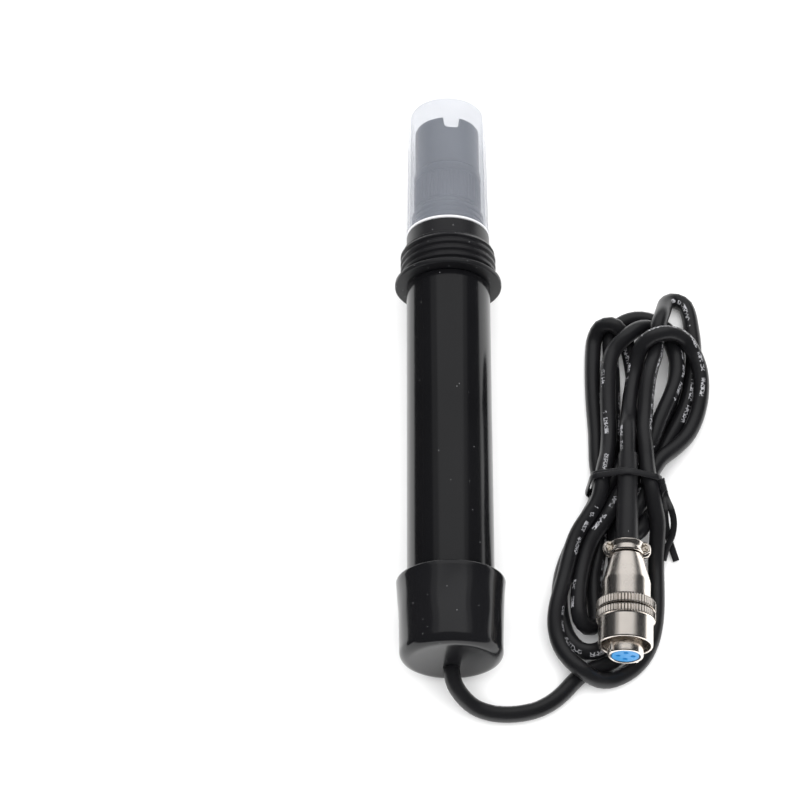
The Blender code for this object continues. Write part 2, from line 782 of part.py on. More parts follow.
def make_cord_entry(axis):
    """The cord's fixed end: the sleeve on the jacket that stops a pull, and the resin that holds it."""
    tail = turned(
        "cord_inner_end",
        rod_profile(CORD_RADIUS, END_CAP_CROWN + 2 * GAP, CORD_TAIL_END),
        "cord_jacket",
        axis,
        TINY_SIDES,
    )
    tail.location = (0, CORD_DROP, 0)
    stop = turned(
        "cord_stop",
        tube_profile(CORD_HOLE + STOP_WALL, CORD_HOLE, STOP_START, STOP_START + STOP_LENGTH),
        "sleeve_plastic",
        axis,
        SMALL_SIDES,
    )
    stop.location = (0, CORD_DROP, 0)
    plug = turned(
        "potting_plug",
        rod_profile(TUBE_BORE - GAP, POTTING_START, POTTING_START + POTTING_LENGTH),
        "potting_resin",
        axis,
    )
    combine(
        plug,
        rod_cutter(
            "potting_hole",
            CORD_HOLE,
            POTTING_START - CUT_OVER,
            POTTING_START + POTTING_LENGTH + CUT_OVER,
            axis,
            (0, CORD_DROP),
        ),
    )


def make_cord(plug_axis):
    lead = round_curve("cord_lead", spline_through(LEAD_ROUTE, LEAD_STEPS), CORD_RADIUS)
    place(lead, "cord_jacket")
    full_height = HANK_HEIGHT + HANK_CROSSING_RISE
    outline = outline_curve("cord_hank", HANK_OUTLINE, full_height / 2, fill=True)
    outline.location.z = full_height / 2
    hank = place(made_mesh(outline), "cord_jacket")
    low_x, high_x = 20 * MM, 72 * MM
    combine(
        hank,
        box_cutter(
            "hank_step",
            (low_x, -95 * MM, HANK_HEIGHT),
            (high_x, HANK_STEP_Y, full_height + CUT_OVER),
        ),
    )
    combine(
        hank,
        rod_cutter(
            "hank_channel", RING_RADIUS + GAP + 0.05 * MM, -1.5 * MM, SHELL_END + 9 * MM, plug_axis,
            sides=LARGE_SIDES,
        ),
    )
    groove = TIE_WIDTH / 2 + GAP
    combine(
        hank,
        box_cutter(
            "hank_tie_groove",
            (low_x, TIE_Y - groove, -CUT_OVER),
            (high_x, TIE_Y + groove, TIE_THICKNESS + 3 * GAP),
        ),
    )
    clearance = (PLUG_Y - HANK_STEP_Y) / -math.cos(PLUG_TURN)
    rear = -(clearance - GAP - 0.2 * MM)
    turned(
        "cord_outer_end",
        rod_profile(CORD_RADIUS, rear, BACKSHELL_NECK_END - 2 * MM),
        "cord_jacket",
        plug_axis,
        TINY_SIDES,
    )
    turned(
        "heat_shrink_sleeve",
        tube_profile(SLEEVE_RADIUS, CORD_HOLE, -SLEEVE_LENGTH, SLEEVE_TUCK),
        "sleeve_plastic",
        plug_axis,
        SMALL_SIDES,
    )


def make_tie():
    """A flat strip wound round the hank and over the sleeve, its two ends twisted together and left free."""
    off = GAP + TIE_THICKNESS / 2 + 0.1 * MM
    crown = PLUG_HEIGHT + SLEEVE_RADIUS + off
    sleeve_x = PLUG_X + (PLUG_Y - TIE_Y) * -math.sin(-PLUG_TURN)
    side = SLEEVE_RADIUS + off
    low = TIE_THICKNESS / 2 + 0.15 * MM
    loop = [
        (WAIST_LEFT + 4 * MM, low),
        (WAIST_LEFT + 1 * MM, low),
        (WAIST_LEFT - off, low + 0.9 * MM),
        (WAIST_LEFT - off - 0.2 * MM, HANK_HEIGHT * 0.5),
        (WAIST_LEFT - off, HANK_HEIGHT - 0.5 * MM),
        (WAIST_LEFT + 0.8 * MM, HANK_HEIGHT + off + 0.3 * MM),
        (sleeve_x - side - 0.6 * MM, PLUG_HEIGHT),
        (sleeve_x - side * 0.72, crown - 1.2 * MM),
        (sleeve_x, crown + 0.2 * MM),
        (sleeve_x + side * 0.72, crown - 1.2 * MM),
        (sleeve_x + side + 0.6 * MM, PLUG_HEIGHT),
        (WAIST_RIGHT - 0.8 * MM, HANK_HEIGHT + off + 0.3 * MM),
        (WAIST_RIGHT + off, HANK_HEIGHT - 0.5 * MM),
        (WAIST_RIGHT + off + 0.2 * MM, HANK_HEIGHT * 0.5),
        (WAIST_RIGHT + off, low + 0.9 * MM),
        (WAIST_RIGHT - 1 * MM, low),
        (WAIST_RIGHT - 4 * MM, low),
    ]
    strip = outline_curve("twist_tie", loop, TIE_WIDTH / 2, fill=False)
    strip.rotation_euler.x = math.pi / 2
    strip.location.y = TIE_Y
    tie = place(made_mesh(strip), "tie_plastic")
    wall = tie.modifiers.new("thickness", "SOLIDIFY")
    wall.thickness = TIE_THICKNESS
    wall.offset = 0
    out = WAIST_RIGHT + off
    ends = {
        "tie_end_1": [
            (out, TIE_Y, HANK_HEIGHT * 0.7),
            (out + 0.7 * MM, TIE_Y - 3 * MM, HANK_HEIGHT * 0.6),
            (out + 1.6 * MM, TIE_Y - 9 * MM, 2.4 * MM),
            (out + 2.5 * MM, TIE_Y - 19.5 * MM, TIE_END_RADIUS + 0.1 * MM),
        ],
        "tie_end_2": [
            (out, TIE_Y, HANK_HEIGHT * 0.5),
            (out + 0.9 * MM, TIE_Y - 3 * MM, HANK_HEIGHT * 0.5),
            (out + 1.0 * MM, TIE_Y - 10 * MM, HANK_HEIGHT * 0.5),
            (out + 0.8 * MM, TIE_Y - 20.5 * MM, HANK_HEIGHT * 0.45),
        ],
    }
    for name, route in ends.items():
        end = hide_cutter(made_mesh(round_curve(name, spline_through(route, 8), TIE_END_RADIUS)))
        combine(tie, end, "UNION")


def make_backshell(plug_axis):
    """The rear shell. Its tail is an open half ring with ears, which the saddle closes. Local Y points up."""
    clamp_radius = CLAMP_BORE + CLAMP_WALL
    inner = BACKSHELL_RADIUS - BACKSHELL_WALL
    shell = turned(
        "backshell",
        [
            (BACKSHELL_RADIUS, BACKSHELL_LENGTH),
            (BACKSHELL_RADIUS, BACKSHELL_NECK_END),
            (clamp_radius + 0.2 * MM, CLAMP_LENGTH + 1.0 * MM),
            (clamp_radius, 0),
            (CLAMP_BORE, 0),
            (CLAMP_BORE, BACKSHELL_NECK_END - 1 * MM),
            (inner, BACKSHELL_NECK_END),
            (inner, BACKSHELL_LENGTH),
        ],
        "plug_nickel",
        plug_axis,
        SMALL_SIDES,
    )
    upper = box_cutter(
        "clamp_opening",
        (-10 * MM, -GAP / 2, -CUT_OVER),
        (10 * MM, 10 * MM, CLAMP_LENGTH + GAP),
        plug_axis,
    )
    combine(shell, upper)
    saddle = turned(
        "clamp_saddle",
        tube_profile(clamp_radius, CLAMP_BORE, 0, CLAMP_LENGTH),
        "plug_nickel",
        plug_axis,
        SMALL_SIDES,
    )
    lower = box_cutter(
        "saddle_opening",
        (-10 * MM, -10 * MM, -CUT_OVER),
        (10 * MM, GAP / 2, CLAMP_LENGTH + CUT_OVER),
        plug_axis,
    )
    combine(saddle, lower)
    screw_z = CLAMP_LENGTH / 2
    for side, number in ((-1, 1), (1, 2)):
        near, far = sorted((side * (CLAMP_BORE + CLAMP_WALL * 0.4), side * EAR_REACH))
        for piece, low, high in (
            (shell, -EAR_THICKNESS, -GAP / 2),
            (saddle, GAP / 2, EAR_THICKNESS),
        ):
            ear = box_cutter(f"{piece.name}_ear_{number}", (near, low, 0), (far, high, CLAMP_LENGTH), plug_axis)
            combine(piece, ear, "UNION")
            hole = turned_object(
                f"{piece.name}_ear_hole_{number}",
                [
                    (0, EAR_THICKNESS + 3 * CUT_OVER),
                    (SCREW_HEAD_RADIUS + GAP, EAR_THICKNESS + 3 * CUT_OVER),
                    (SCREW_HEAD_RADIUS + GAP, EAR_THICKNESS),
                    (SCREW_RADIUS + GAP, EAR_THICKNESS),
                    (SCREW_RADIUS + GAP, -EAR_THICKNESS - CUT_OVER),
                    (0, -EAR_THICKNESS - CUT_OVER),
                ],
                TINY_SIDES,
            )
            hide_cutter(hole, plug_axis)
            hole.location = (side * SCREW_OFFSET, 0, screw_z)
            hole.rotation_euler.x = -math.pi / 2
            combine(piece, hole)
        top = EAR_THICKNESS + GAP
        screw = turned(
            f"clamp_screw_{number}",
            [
                (0, top + SCREW_HEAD_HEIGHT),
                (SCREW_HEAD_RADIUS * 0.8, top + SCREW_HEAD_HEIGHT),
                (SCREW_HEAD_RADIUS, top + SCREW_HEAD_HEIGHT * 0.6),
                (SCREW_HEAD_RADIUS, top),
                (SCREW_RADIUS, top),
                (SCREW_RADIUS, -EAR_THICKNESS),
                (0, -EAR_THICKNESS),
            ],
            "screw_steel",
            plug_axis,
            TINY_SIDES,
        )
        screw.location = (side * SCREW_OFFSET, 0, screw_z)
        screw.rotation_euler.x = -math.pi / 2
        slot = box_cutter(
            f"screw_slot_{number}",
            (-SCREW_HEAD_RADIUS - CUT_OVER, top + 0.6 * SCREW_HEAD_HEIGHT, -0.2 * MM),
            (SCREW_HEAD_RADIUS + CUT_OVER, top + SCREW_HEAD_HEIGHT + CUT_OVER, 0.2 * MM),
            plug_axis,
        )
        slot.location = (side * SCREW_OFFSET, 0, screw_z)
        slot.rotation_euler.y = side * math.radians(35)
        combine(screw, slot)


def make_plug(plug_axis):
    inner = BACKSHELL_RADIUS - BACKSHELL_WALL
    band_start = BACKSHELL_LENGTH + GAP
    band_end = band_start + SHELL_BAND_LENGTH
    insert_bore = INSERT_RADIUS + GAP
    insert_start = SHELL_END - INSERT_LENGTH
    turned(
        "connector_body",
        [
            (SHELL_NOSE_RADIUS, SHELL_END),
            (SHELL_NOSE_RADIUS, RING_START + RING_BORE_LENGTH + 2 * GAP),
            (SHELL_CORE_RADIUS, RING_START + RING_BORE_LENGTH + GAP),
            (SHELL_CORE_RADIUS, band_end),
            (RING_RADIUS, band_end),
            (RING_RADIUS, band_start),
            (inner - GAP, band_start),
            (inner - GAP, BACKSHELL_LENGTH - SHELL_THREAD_LENGTH),
            (inner - GAP - 1.2 * MM, BACKSHELL_LENGTH - SHELL_THREAD_LENGTH),
            (inner - GAP - 1.2 * MM, insert_start - 1.5 * MM),
            (insert_bore - 0.8 * MM, insert_start - 1.2 * MM),
            (insert_bore - 0.8 * MM, insert_start - GAP),
            (insert_bore, insert_start - GAP),
            (insert_bore, SHELL_END),
        ],
        "plug_nickel",
        plug_axis,
        SMALL_SIDES,
    )
    insert = turned(
        "contact_insert",
        rod_profile(INSERT_RADIUS, insert_start, SHELL_END - 0.1 * MM),
        "insert_blue",
        plug_axis,
        SMALL_SIDES,
    )
    front = SHELL_END - 0.1 * MM
    for i in range(CONTACT_COUNT):
        angle = math.tau * i / CONTACT_COUNT
        offset = (CONTACT_CIRCLE * math.cos(angle), CONTACT_CIRCLE * math.sin(angle))
        seat = front - CONTACT_FRONT_WALL
        cutter = turned_object(
            f"contact_hole_{i + 1}",
            [
                (0, front + CUT_OVER),
                (CONTACT_HOLE_RADIUS, front + CUT_OVER),
                (CONTACT_HOLE_RADIUS, seat),
                (CONTACT_RADIUS + GAP, seat),
                (CONTACT_RADIUS + GAP, insert_start - CUT_OVER),
                (0, insert_start - CUT_OVER),
            ],
            TINY_SIDES,
        )
        hide_cutter(cutter, plug_axis)
        cutter.location = (*offset, 0)
        combine(insert, cutter)
        contact = turned(
            f"contact_socket_{i + 1}",
            tube_profile(CONTACT_RADIUS, CONTACT_BORE, seat - GAP - CONTACT_LENGTH, seat - GAP),
            "contact_gold",
            plug_axis,
            TINY_SIDES,
        )
        contact.location = (*offset, 0)
    barrel = RING_RADIUS - RING_BARREL_STEP
    turned(
        "coupling_ring",
        [
            (barrel - 0.2 * MM, RING_END),
            (barrel, RING_END - 0.2 * MM),
            (barrel, RING_START + RING_BAND_LENGTH),
            (RING_RADIUS, RING_START + RING_BAND_LENGTH),
            (RING_RADIUS, RING_START),
            (SHELL_CORE_RADIUS + GAP, RING_START),
            (SHELL_CORE_RADIUS + GAP, RING_START + RING_BORE_LENGTH),
            (barrel - RING_WALL, RING_START + RING_BORE_LENGTH + GAP),
            (barrel - RING_WALL, RING_END - 0.3 * MM),
            (barrel - RING_WALL + 0.3 * MM, RING_END),
        ],
        "plug_nickel",
        plug_axis,
    )


def shade_round_parts():
    for part in PARTS.objects:
        if part.type == "MESH":
            part.data.shade_smooth()
            part.data.set_sharp_from_angle(angle=math.radians(30))


def main():
    probe_axis = frame_empty("probe_axis", (0, -PROBE_LENGTH / 2, AXIS_HEIGHT), (-math.pi / 2, 0, 0))
    plug_axis = frame_empty("plug_axis", (PLUG_X, PLUG_Y, PLUG_HEIGHT), (math.pi / 2, 0, PLUG_TURN))
    make_tube_and_cap(probe_axis)
    make_head(probe_axis)
    make_electrode(probe_axis)
    make_membrane_cap(probe_axis)
    make_storage_cap(probe_axis)
    make_board(probe_axis)
    make_cord_entry(probe_axis)
    make_cord(plug_axis)
    make_tie()
    make_backshell(plug_axis)
    make_plug(plug_axis)
    shade_round_parts()


clear_scene()
PARTS = new_collection("water_quality_probe")
CUTTERS = new_collection("cutters")
main()
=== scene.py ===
"""The look of the water quality probe: tube, end cap, threaded head, clear storage cap, tied lead and
plug."""

import json
import math

import bmesh
import bpy
import numpy as np
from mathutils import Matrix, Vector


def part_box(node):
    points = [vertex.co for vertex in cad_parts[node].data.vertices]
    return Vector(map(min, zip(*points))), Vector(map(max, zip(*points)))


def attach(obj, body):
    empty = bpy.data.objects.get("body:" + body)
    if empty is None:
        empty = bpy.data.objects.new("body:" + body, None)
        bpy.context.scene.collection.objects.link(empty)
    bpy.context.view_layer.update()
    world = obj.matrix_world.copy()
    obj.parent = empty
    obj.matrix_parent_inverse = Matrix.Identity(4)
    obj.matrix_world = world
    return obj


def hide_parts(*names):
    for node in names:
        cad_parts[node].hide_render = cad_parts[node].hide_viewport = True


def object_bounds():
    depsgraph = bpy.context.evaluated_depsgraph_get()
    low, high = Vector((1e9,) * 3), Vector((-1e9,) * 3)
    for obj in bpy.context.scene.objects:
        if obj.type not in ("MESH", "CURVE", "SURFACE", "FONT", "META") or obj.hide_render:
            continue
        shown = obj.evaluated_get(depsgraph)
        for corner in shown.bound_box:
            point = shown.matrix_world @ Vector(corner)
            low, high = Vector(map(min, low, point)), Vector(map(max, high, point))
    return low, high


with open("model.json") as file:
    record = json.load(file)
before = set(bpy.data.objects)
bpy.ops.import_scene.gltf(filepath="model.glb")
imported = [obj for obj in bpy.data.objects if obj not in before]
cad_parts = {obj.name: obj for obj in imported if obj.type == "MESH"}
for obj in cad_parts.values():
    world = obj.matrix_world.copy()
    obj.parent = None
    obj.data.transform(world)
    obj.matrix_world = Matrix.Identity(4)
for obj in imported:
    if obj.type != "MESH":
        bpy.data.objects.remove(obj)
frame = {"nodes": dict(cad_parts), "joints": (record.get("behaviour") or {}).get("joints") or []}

bl_info = {
    "name": "Water quality probe",
    "version": (1, 0, 0),
    "blender": (4, 5, 0),
    "location": "3D View > Sidebar > Probe",
    "description": "Builds the visible pieces of a dissolved-oxygen probe round its CAD frame",
    "category": "Object",
}

MM = 0.001
TAU = math.tau
CAD_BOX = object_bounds()
MERGE = 2e-6


def ends(node):
    """Lowest and highest y of a CAD node, in metres."""
    low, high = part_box(node)
    return low.y, high.y


def reach(node):
    """Outer radius of a round CAD node on the probe's axis: half of its width."""
    low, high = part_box(node)
    return (high.x - low.x) / 2


TUBE_LOW, TUBE_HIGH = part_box("probe_tube")
PROBE_ORIGIN = np.array([0.0, 0.0, (TUBE_LOW.z + TUBE_HIGH.z) / 2])
PROBE_AXIS = np.array([0.0, 1.0, 0.0])
RING_JOINT = next(j for j in frame["joints"] if j["name"] == "coupling_ring_turn")
PLUG_ORIGIN = np.array(RING_JOINT["pos_m"])
PLUG_AXIS = np.array(RING_JOINT["axis"]) / np.linalg.norm(RING_JOINT["axis"])
UP = np.array([0.0, 0.0, 1.0])
PROBE_PLACE = (PROBE_ORIGIN, PROBE_AXIS)
PLUG_PLACE = (PLUG_ORIGIN, PLUG_AXIS)


# Meshes


def grid_part(points, wrap_rows=False, wrap_columns=True):
    """Points on a rows by columns grid and the quads between neighbours, wrapped round where a
    direction closes."""
    rows, columns = points.shape[:2]
    index = np.arange(rows * columns).reshape(rows, columns)
    if wrap_rows:
        index = np.vstack([index, index[:1]])
    if wrap_columns:
        index = np.hstack([index, index[:, :1]])
    quads = np.stack([index[:-1, :-1], index[:-1, 1:], index[1:, 1:], index[1:, :-1]], -1)
    return points.reshape(-1, 3), quads.reshape(-1, 4)


def make_piece(name, parts, body, slot, stands_for, sharp=35.0):
    """One object from several grids: joins them, merges doubles, points the faces outwards and shades
    them smooth."""
    start, points, quads = 0, [], []
    for part_points, part_quads in parts:
        points.append(part_points)
        quads.append(part_quads + start)
        start += len(part_points)
    mesh = bpy.data.meshes.new(name)
    mesh.from_pydata(np.concatenate(points).tolist(), [], np.concatenate(quads).tolist())
    clean(mesh)
    return finish_piece(name, mesh, body, slot, stands_for, sharp)


def clean(mesh, dissolve=True):
    """Merges doubled points, drops faces with no area where asked, and points the faces outwards."""
    work = bmesh.new()
    work.from_mesh(mesh)
    bmesh.ops.remove_doubles(work, verts=work.verts, dist=MERGE)
    if dissolve:
        bmesh.ops.dissolve_degenerate(work, edges=work.edges, dist=MERGE / 2)
    bmesh.ops.recalc_face_normals(work, faces=work.faces)
    work.to_mesh(mesh)
    work.free()


def finish_piece(name, mesh, body, slot, stands_for, sharp):
    """Links a finished mesh as an object at the origin, with its body and its slot's material, and hides
    the CAD nodes it stands for."""
    mesh.polygons.foreach_set("use_smooth", [True] * len(mesh.polygons))
    mesh.set_sharp_from_angle(angle=math.radians(sharp))
    mesh.materials.append(MATERIALS[slot])
    piece = bpy.data.objects.new(name, mesh)
    bpy.context.scene.collection.objects.link(piece)
    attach(piece, body)
    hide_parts(*stands_for)
    return piece


def fine(points, step):
    """A profile with points added along its straight runs, so that no run is longer than step."""
    points = np.asarray(points, float)
    gaps = np.linalg.norm(np.diff(points, axis=0), axis=1)
    counts = np.maximum(1, np.ceil(gaps / step).astype(int))
    pieces = [
        a + (b - a) * np.linspace(0, 1, n, endpoint=False)[:, None]
        for a, b, n in zip(points[:-1], points[1:], counts)
    ]
    return np.vstack([*pieces, points[-1:]])


def rounded(points, radius, steps=5):
    """A profile whose inner corners are cut back by radius and bridged by a quadratic curve: (1-t)^2 A
    + 2t(1-t) B + t^2 C."""
    points = np.asarray(points, float)
    radii = np.broadcast_to(radius, len(points))
    t = np.linspace(0, 1, steps)[:, None]
    out = [points[:1]]
    for a, b, c, r in zip(points[:-2], points[1:-1], points[2:], radii[1:-1]):
        back, on = a - b, c - b
        cut = min(r, 0.45 * np.linalg.norm(back), 0.45 * np.linalg.norm(on))
        if cut <= 1e-7:
            out.append(b[None])
            continue
        first = b + back / np.linalg.norm(back) * cut
        last = b + on / np.linalg.norm(on) * cut
        out.append((1 - t) ** 2 * first + 2 * t * (1 - t) * b + t**2 * last)
    return np.vstack([*out, points[-1:]])


def lathe(profile, place, sides=128, shape=None, turn=0.0):
    """A profile of (distance along the axis, radius) turned round the axis: origin + a*axis + r*(cos*up
    + sin*side). shape changes r by distance and angle."""
    origin, axis = place
    top = UP if abs(axis[2]) < 0.9 else PROBE_AXIS
    side = np.cross(axis, top)
    side = side / np.linalg.norm(side)
    along, radius = np.asarray(profile, float).T
    angle = turn + np.arange(sides) * TAU / sides
    along, angle = np.meshgrid(along, angle, indexing="ij")
    radius = np.repeat(radius[:, None], sides, 1)
    if shape is not None:
        radius = np.where(radius > 1e-7, shape(along, angle, radius), radius)
    points = (
        origin
        + along[..., None] * axis
        + radius[..., None] * (np.cos(angle)[..., None] * top + np.sin(angle)[..., None] * side)
    )
    return grid_part(points)


def loop(profile):
    """A closed profile: its last point is its first."""
    profile = np.asarray(profile, float)
    return np.vstack([profile, profile[:1]])


def smooth_path(points, step, closed=False):
    """A cubic spline through points (Catmull-Rom: four neighbours weighted by cubic polynomials of t),
    resampled at an even step."""
    points = np.asarray(points, float)
    if closed:
        padded = np.vstack([points[-1], points, points[:2]])
    else:
        padded = np.vstack([2 * points[0] - points[1], points, 2 * points[-1] - points[-2]])
    t = np.linspace(0, 1, 12, endpoint=False)[None, :, None]
    a, b, c, d = (padded[i : len(padded) - 3 + i][:, None] for i in range(4))
    dense = 0.5 * (
        2 * b + (c - a) * t + (2 * a - 5 * b + 4 * c - d) * t**2 + (3 * b - a - 3 * c + d) * t**3
    )
    dense = np.vstack([dense.reshape(-1, 3), padded[-2][None]])
    return even(dense, step)


def even(dense, step):
    """Points at an even distance along a line, by linear interpolation over its length."""
    length = np.concatenate([[0], np.cumsum(np.linalg.norm(np.diff(dense, axis=0), axis=1))])
    count = max(3, int(round(length[-1] / step)) + 1)
    at = np.linspace(0, length[-1], count)
    return np.stack([np.interp(at, length, dense[:, k]) for k in range(3)], 1)


def path_frames(path):
    """Tangent and two cross directions at each point of a path, carried along it with the least twist."""
    tangent = np.gradient(path, axis=0)
    tangent /= np.linalg.norm(tangent, axis=1)[:, None]
    across = np.cross(tangent[0], UP)
    across = across / np.linalg.norm(across)
    kept = [across]
    for t in tangent[1:]:
        across = across - t * (across @ t)
        across = across / np.linalg.norm(across)
        kept.append(across)
    across = np.array(kept)
    return tangent, across, np.cross(across, tangent)


def sweep(path, radius, sides=20, bulge=0.35):
    """A round tube along a path: each ring is path + r*(cos*normal + sin*across), closed by two rounded
    ends."""
    tangent, across, normal = path_frames(path)
    radii = np.broadcast_to(radius, len(path)).astype(float)
    angle = np.arange(sides) * TAU / sides
    ring = np.cos(angle)[None, :, None] * normal[:, None] + np.sin(angle)[None, :, None] * across[:, None]
    body = path[:, None] + radii[:, None, None] * ring
    caps = []
    for i, way in ((0, -1), (-1, 1)):
        share = np.array([0.0, 0.6, 0.85])[:: way]
        width = np.sqrt(1 - share**2)
        caps.append(
            path[i]
            + way * share[:, None, None] * bulge * radii[i] * tangent[i]
            + (radii[i] * width)[:, None, None] * ring[i]
        )
    pole_a = np.repeat((path[0] - bulge * radii[0] * tangent[0])[None, None], sides, 1)
    pole_b = np.repeat((path[-1] + bulge * radii[-1] * tangent[-1])[None, None], sides, 1)
    return grid_part(np.concatenate([pole_a, caps[0][:-1], body, caps[1][1:], pole_b]))


def ribbon(path, width, thickness, flat):
    """A flat strip along a path: a rounded rectangle in the plane of the width direction and its
    normal, closed at both ends."""
    tangent = np.gradient(path, axis=0)
    tangent /= np.linalg.norm(tangent, axis=1)[:, None]
    wide = flat - tangent * np.sum(flat * tangent, axis=1)[:, None]
    wide /= np.linalg.norm(wide, axis=1)[:, None]
    thin = np.cross(tangent, wide)
    angle = np.arange(16) * TAU / 16
    across = np.sign(np.cos(angle)) * np.abs(np.cos(angle)) ** 0.5 * width / 2
    through = np.sign(np.sin(angle)) * np.abs(np.sin(angle)) ** 0.8 * thickness / 2
    rings = path[:, None] + across[None, :, None] * wide[:, None] + through[None, :, None] * thin[:, None]
    start = np.repeat(path[:1, None], 16, 1)
    end = np.repeat(path[-1:, None], 16, 1)
    return grid_part(np.concatenate([start, rings, end]))


# Shader groups and materials


def new_group(name, inputs, outputs):
    """An empty node group with its sockets: (name, default) pairs in, (name, kind) pairs out."""
    group = bpy.data.node_groups.new(name, "ShaderNodeTree")
    for label, value in inputs:
        socket = group.interface.new_socket(label, in_out="INPUT", socket_type="NodeSocketFloat")
        socket.default_value = value
    group.interface.new_socket("Vector", in_out="INPUT", socket_type="NodeSocketVector")
    for label, kind in outputs:
        group.interface.new_socket(label, in_out="OUTPUT", socket_type=kind)
    return group, group.nodes.new("NodeGroupInput"), group.nodes.new("NodeGroupOutput")


def add(tree, kind, links=(), **values):
    """One node, with its settings, socket values and incoming links. A key such as in_0 or in_Scale
    sets a socket."""
    node = tree.nodes.new(kind)
    for key, value in values.items():
        if key.startswith("in_"):
            label = key[3:].replace("_", " ")
            node.inputs[int(label) if label.isdigit() else label].default_value = value
        else:
            setattr(node, key, value)
    for label, source in links:
        tree.links.new(source, node.inputs[label])
    return node


def calc(tree, operation, *values):
    """A Math node's output. Numbers set its sockets in order, and outputs link to them."""
    node = add(tree, "ShaderNodeMath", operation=operation)
    for socket, value in zip(node.inputs, values):
        if isinstance(value, (int, float)):
            socket.default_value = value
        else:
            tree.links.new(value, socket)
    return node.outputs[0]


def noise_group():
    """Mottle: fractal noise stretched between a low and a high value."""
    group, enter, leave = new_group(
        "Mottle", [("Scale", 60.0), ("Low", 0.2), ("High", 0.4)], [("Value", "NodeSocketFloat")]
    )
    noise = add(
        group,
        "ShaderNodeTexNoise",
        [("Vector", enter.outputs["Vector"]), ("Scale", enter.outputs["Scale"])],
        in_Detail=4.0,
    )
    spread = add(
        group,
        "ShaderNodeMapRange",
        [
            ("Value", noise.outputs["Fac"]), ("To Min", enter.outputs["Low"]),
            ("To Max", enter.outputs["High"]),
        ],
        in_1=0.3,
        in_2=0.7,
    )
    group.links.new(spread.outputs["Result"], leave.inputs["Value"])
    return group


def dust_group():
    """Specks: small dots where a cell's centre is near and its random value is high, as lint and dust
    on dark plastic."""
    group, enter, leave = new_group(
        "Dust", [("Scale", 900.0), ("Amount", 0.06)], [("Mask", "NodeSocketFloat")]
    )
    cells = add(
        group,
        "ShaderNodeTexVoronoi",
        [("Vector", enter.outputs["Vector"]), ("Scale", enter.outputs["Scale"])],
    )
    near = calc(group, "LESS_THAN", cells.outputs["Distance"], 0.16)
    chance = add(group, "ShaderNodeSeparateColor", [("Color", cells.outputs["Color"])])
    rare = calc(group, "LESS_THAN", chance.outputs["Red"], enter.outputs["Amount"])
    group.links.new(calc(group, "MULTIPLY", near, rare), leave.inputs["Mask"])
    return group


def grain_group():
    """Grain: fine noise laid over coarse noise, as a height for moulded or drawn surfaces."""
    group, enter, leave = new_group(
        "Grain", [("Fine", 3000.0), ("Coarse", 200.0), ("Share", 0.5)], [("Height", "NodeSocketFloat")]
    )
    small = add(
        group,
        "ShaderNodeTexNoise",
        [("Vector", enter.outputs["Vector"]), ("Scale", enter.outputs["Fine"])],
        in_Detail=2.0,
    )
    large = add(
        group,
        "ShaderNodeTexNoise",
        [("Vector", enter.outputs["Vector"]), ("Scale", enter.outputs["Coarse"])],
        in_Detail=2.0,
    )
    blend = add(
        group,
        "ShaderNodeMix",
        [("Factor", enter.outputs["Share"]), ("A", large.outputs["Fac"]), ("B", small.outputs["Fac"])],
    )
    group.links.new(blend.outputs["Result"], leave.inputs["Height"])
    return group


class Finish:
    """A material under construction: its node tree, Principled shader and position source."""

    def __init__(self, name, color, roughness=0.4, metallic=0.0, ior=1.5, **constants):
        self.material = bpy.data.materials.new(name)
        self.material.use_nodes = True
        self.tree = self.material.node_tree
        self.shader = self.tree.nodes["Principled BSDF"]
        self.material.diffuse_color = (*color, 1)
        self.shader.inputs["Base Color"].default_value = (*color, 1)
        self.shader.inputs["Roughness"].default_value = roughness
        self.shader.inputs["Metallic"].default_value = metallic
        self.shader.inputs["IOR"].default_value = ior
        for key, value in constants.items():
            self.shader.inputs[key.replace("_", " ")].default_value = value
        self.color = color
        place = add(self.tree, "ShaderNodeTexCoord")
        self.uv = place.outputs["UV"]
        self.place = place.outputs["Object"]

    def group(self, name, output, **values):
        """Places a shared group with its own values and returns one of its outputs."""
        node = add(self.tree, "ShaderNodeGroup", node_tree=bpy.data.node_groups[name])
        for key, value in values.items():
            node.inputs[key].default_value = value
        self.tree.links.new(self.place, node.inputs["Vector"])
        return node.outputs[output]

    def feed(self, socket, output):
        """Links an output to one of the shader's sockets."""
        self.tree.links.new(output, self.shader.inputs[socket])
        return self

    def rough(self, low, high, scale=60.0):
        """Roughness that wanders between two values."""
        return self.feed("Roughness", self.group("Mottle", "Value", Scale=scale, Low=low, High=high))

    def tint(self, factor, color, base=None):
        """Base Color mixed from the plain colour, or from base, to another colour by a mask."""
        mix = add(self.tree, "ShaderNodeMix", [("Factor", factor)], data_type="RGBA")
        mix.inputs[6].default_value = (*self.color, 1)
        mix.inputs[7].default_value = (*color, 1)
        if base is not None:
            self.tree.links.new(base, mix.inputs[6])
        self.feed("Base Color", mix.outputs[2])
        return mix.outputs[2]

    def bump(self, height, strength, distance=0.00005):
        """A Bump node that turns a height into the normal."""
        node = add(
            self.tree, "ShaderNodeBump", [("Height", height)], in_Strength=strength,
            in_Distance=distance,
        )
        return self.feed("Normal", node.outputs["Normal"])


def plastic(
    name, color, low, high, grain=0.15, dust=0.0, dust_color=(0.35, 0.35, 0.36), shade=1.35, **constants
):
    """Moulded plastic or rubber: wandering roughness, a slight change of shade, fine grain and a little
    dust."""
    f = Finish(name, color, **constants)
    f.rough(low, high)
    paler = tuple(min(1.0, c * shade) for c in color)
    base = f.tint(f.group("Mottle", "Value", Scale=35.0, Low=0.0, High=1.0), paler)
    if dust:
        f.tint(f.group("Dust", "Mask", Scale=1700.0, Amount=dust), dust_color, base)
    f.bump(f.group("Grain", "Height", Fine=2600.0, Coarse=160.0, Share=0.35), grain)
    return f.material


